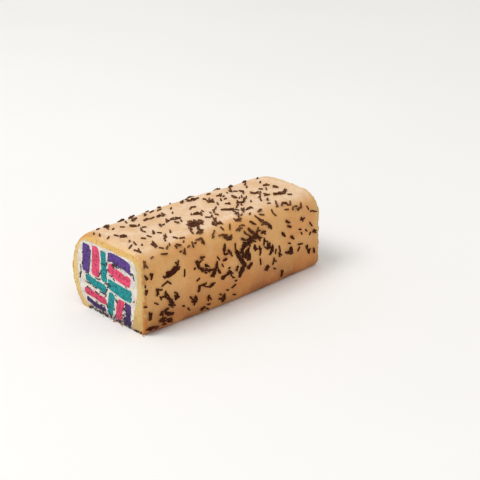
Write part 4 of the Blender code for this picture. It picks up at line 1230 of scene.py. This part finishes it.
def gathered(name, pieces, model):
    """Joins pieces into one object and removes their model."""
    bpy.data.objects.remove(model, do_unlink=True)
    bpy.ops.object.select_all(action="DESELECT")
    for piece in pieces:
        piece.select_set(True)
    bpy.context.view_layer.objects.active = pieces[0]
    bpy.ops.object.join()
    whole = bpy.context.object
    whole.name = whole.data.name = name
    whole.data.shade_smooth()
    return whole


def edge_spot(name, share, side, y):
    """A place on the edge of a strip at a share of its length, with the way the edge runs in degrees."""
    start, end, bow, thicknesses = BARS[name]
    ahead = (Vector(end) - Vector(start)).normalized()
    half = float(np.interp(share, THICKNESS_AT, thicknesses)) / 2
    middle = Vector(start).lerp(Vector(end), share)
    spot = middle + Vector((ahead.y, -ahead.x)) * (bow * 4 * share * (1 - share) + side * half)
    across, up = carried(spot.x, spot.y, y)
    return float(across), float(up), math.degrees(math.atan2(ahead.y, ahead.x))


bit_model = ball()
bits = []
for across, up, *rest in BITS:
    bits += chopped(bit_model, across, up, -LENGTH / 2, *rest)
for bar_name in BARS:
    for _ in range(FAR_BITS):
        across, up, slope = edge_spot(bar_name, draw.random(), draw.choice((-1, 1)), LENGTH / 2)
        size = (draw.uniform(*FAR_BIT_LENGTH), draw.uniform(*FAR_BIT_WIDTH))
        bits += chopped(bit_model, across, up, LENGTH / 2, *size, slope + draw.gauss(0, BIT_TURN))
for across_range, highest, low_count in LOW_BITS:
    for number in range(2 * low_count):
        long = draw.uniform(*LOW_BIT_LENGTH)
        spot = (draw.uniform(*across_range), highest * draw.random() ** LOW_BIT_CROWD)
        end = LENGTH / 2 if number % 2 else -LENGTH / 2
        wide = long * draw.uniform(*LOW_BIT_SHAPE)
        bits.append(on_cut(bit_model, *spot, end, long, wide, draw.gauss(0, LOOSE_TURN)))
chocolate_bits = gathered("chocolate_bits", bits, bit_model)
CHOCOLATE = {"dark": (34, 22, 24), "bloom": (62, 42, 42)}
BLOOM = (0.0030, 0.40, 0.70)
CHOCOLATE_ROUGHNESS = 0.55
bit_finish, tree, shader = finish_with("dark_chocolate", CHOCOLATE_ROUGHNESS)
chocolate = mixed(tree, cloudy(tree, *BLOOM), tint(CHOCOLATE["dark"]), tint(CHOCOLATE["bloom"]))
tree.links.new(chocolate, shader.inputs["Base Color"])
chocolate_bits.data.materials.append(bit_finish)
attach(chocolate_bits, "root")

# Cream frills: ragged flecks of buttercream that the knife pulled down over the lower edge of both cuts.
# They are the same buttercream as between the strips, and cling to the cuts among the chocolate bits.
FRILLS = [
    (-0.029, 0.0056, 0.006, 0.0015, -15), (-0.0232, 0.0036, 0.005, 0.0013, -10),
    (-0.018, 0.0032, 0.005, 0.0014, 0), (-0.0128, 0.0036, 0.005, 0.0013, 10),
    (-0.0075, 0.0044, 0.005, 0.0015, 25), (-0.0205, 0.0012, 0.0024, 0.0011, 80),
    (-0.0125, 0.0014, 0.0026, 0.0011, 70), (0.0045, 0.0022, 0.004, 0.0017, 60),
    (0.0075, 0.002, 0.003, 0.0013, 20), (0.01, 0.003, 0.0034, 0.0013, 80),
    (0.0178, 0.0022, 0.0034, 0.0015, 60), (0.0172, 0.005, 0.003, 0.0012, 85),
    (0.0225, 0.001, 0.0034, 0.0013, 0), (0.0312, 0.003, 0.0042, 0.0015, 75),
    (0.0338, 0.0014, 0.0034, 0.0014, 10), (0.0364, 0.0024, 0.0024, 0.0012, 30),
    (0.0212, 0.0146, 0.0034, 0.0012, 60), (0.0224, 0.0108, 0.003, 0.0011, 20),
    (0.0212, 0.057, 0.0044, 0.0022, 10), (0.024, 0.0562, 0.003, 0.0016, -20),
]
FAR_FRILLS = 16
FAR_FRILL_HEIGHT = (0.0012, 0.0050)
FAR_FRILL_LENGTH = (0.0026, 0.0052)
FAR_FRILL_WIDTH = (0.0011, 0.0017)

frill_model = ball()
frills = [on_cut(frill_model, across, up, -LENGTH / 2, *rest) for across, up, *rest in FRILLS]
for _ in range(FAR_FRILLS):
    spot = (draw.uniform(FOOT_LEFT_X, FOOT_RIGHT_X), draw.uniform(*FAR_FRILL_HEIGHT))
    size = (draw.uniform(*FAR_FRILL_LENGTH), draw.uniform(*FAR_FRILL_WIDTH))
    frills.append(on_cut(frill_model, *spot, LENGTH / 2, *size, draw.gauss(0, LOOSE_TURN)))
cream_frills = gathered("cream_frills", frills, frill_model)
cream_frills.data.materials.append(cream_finish)
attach(cream_frills, "root")

# Sponge crumbs: yellow and browned crumbs of the wrap that broke off as the roll was cut. They lie loose
# against the lower edges of both cuts.
CRUMB_SIZE = (0.0007, 0.0019)
CRUMB_WIDTH = (0.7, 1.0)
CRUMB_HEIGHT = (0.6, 0.9)
CRUMB_GAP = 0.3
CRUMB_CLEAR = 0.0002
CRUMB_COUNT = 26
CRUMB_REACH = 0.0024
CRUMB_STRAY = 0.5
CRUMB_SPAN = (-0.036, 0.050)

crumb_model = ball()
crumbs = []
for number in range(CRUMB_COUNT):
    end = -1 if number % 2 else 1
    size = draw.uniform(*CRUMB_SIZE)
    shape = Vector((size, size * draw.uniform(*CRUMB_WIDTH), size * draw.uniform(*CRUMB_HEIGHT)))
    turned = Matrix.Rotation(draw.uniform(0, math.pi), 3, "Z")
    out = min(abs(draw.gauss(0, CRUMB_STRAY)) * CRUMB_REACH + size * CRUMB_GAP, CRUMB_REACH)
    place = (draw.uniform(*CRUMB_SPAN), end * (LENGTH / 2 + out), shape.z / 2 + CRUMB_CLEAR)
    crumbs.append(torn(crumb_model, place, turned, shape))
sponge_crumbs = gathered("sponge_crumbs", crumbs, crumb_model)
CRUMBS = {"yellow": (232, 202, 136), "browned": (176, 122, 60)}
TOASTED = (0.0090, 0.42, 0.60)
CRUMB_ROUGHNESS = 0.85
crumb_finish, tree, shader = finish_with("sponge_crumb", CRUMB_ROUGHNESS)
loose = mixed(tree, cloudy(tree, *TOASTED), tint(CRUMBS["yellow"]), tint(CRUMBS["browned"]))
tree.links.new(loose, shader.inputs["Base Color"])
sponge_crumbs.data.materials.append(crumb_finish)
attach(sponge_crumbs, "root")

# Table: a plain pale floor under the roll, which isn't part of it
FLOOR_WIDTH = 8
FLOOR = {"pale": (248, 247, 245), "paler": (250, 249, 247)}
FLOOR_PATCHES = (0.5, 0.3, 0.7)
FLOOR_ROUGHNESS = 0.9
bpy.ops.object.select_all(action="DESELECT")
bpy.ops.mesh.primitive_plane_add(size=FLOOR_WIDTH)
floor = bpy.context.object
floor.name = "floor"
floor_finish, tree, shader = finish_with("pale_floor", FLOOR_ROUGHNESS)
ground = mixed(tree, cloudy(tree, *FLOOR_PATCHES), tint(FLOOR["pale"]), tint(FLOOR["paler"]))
tree.links.new(ground, shader.inputs["Base Color"])
floor.data.materials.append(floor_finish)

# Light: a large soft lamp above and in front to the left, and an even pale sky
SKY_STRENGTH = 0.68
KEY_ENERGY = 56.0
KEY_PLACE = (-0.80, -1.70, 3.00)
KEY_SIZE = 1.8
KEY_AIM = (0, 0, 0.04)
SKY_COLOUR = (1.0, 0.99, 0.975, 1.0)
sky = bpy.context.scene.world or bpy.data.worlds.new("sky")
bpy.context.scene.world = sky
sky.use_nodes = True
sky.node_tree.nodes["Background"].inputs["Color"].default_value = SKY_COLOUR
sky.node_tree.nodes["Background"].inputs["Strength"].default_value = SKY_STRENGTH
bpy.ops.object.light_add(type="AREA", location=KEY_PLACE)
key = bpy.context.object
key.name = "soft_lamp"
key.data.size = KEY_SIZE
key.data.energy = KEY_ENERGY
key.rotation_euler = (Vector(KEY_PLACE) - Vector(KEY_AIM)).to_track_quat("Z", "Y").to_euler()

# Camera: from the right of the near cut, looking down on the roll
CAMERA_PLACE = (0.7690, -0.69505, 0.48283)
CAMERA_BACK = (0.66025, -0.64246, 0.38899)
CAMERA_ROLL = math.radians(-0.126)
CAMERA_LENS = 86.04
CAMERA_SENSOR = 36
CAMERA_NEAREST = 0.01
bpy.ops.object.camera_add(location=CAMERA_PLACE)
camera = bpy.context.object
camera.data.lens = CAMERA_LENS
camera.data.sensor_width = CAMERA_SENSOR
camera.data.clip_start = CAMERA_NEAREST
facing = Vector(CAMERA_BACK).to_track_quat("Z", "Y").to_matrix()
camera.rotation_euler = (facing @ Matrix.Rotation(CAMERA_ROLL, 3, "Z")).to_euler()
bpy.context.scene.camera = camera
bpy.context.scene.view_settings.view_transform = "Standard"
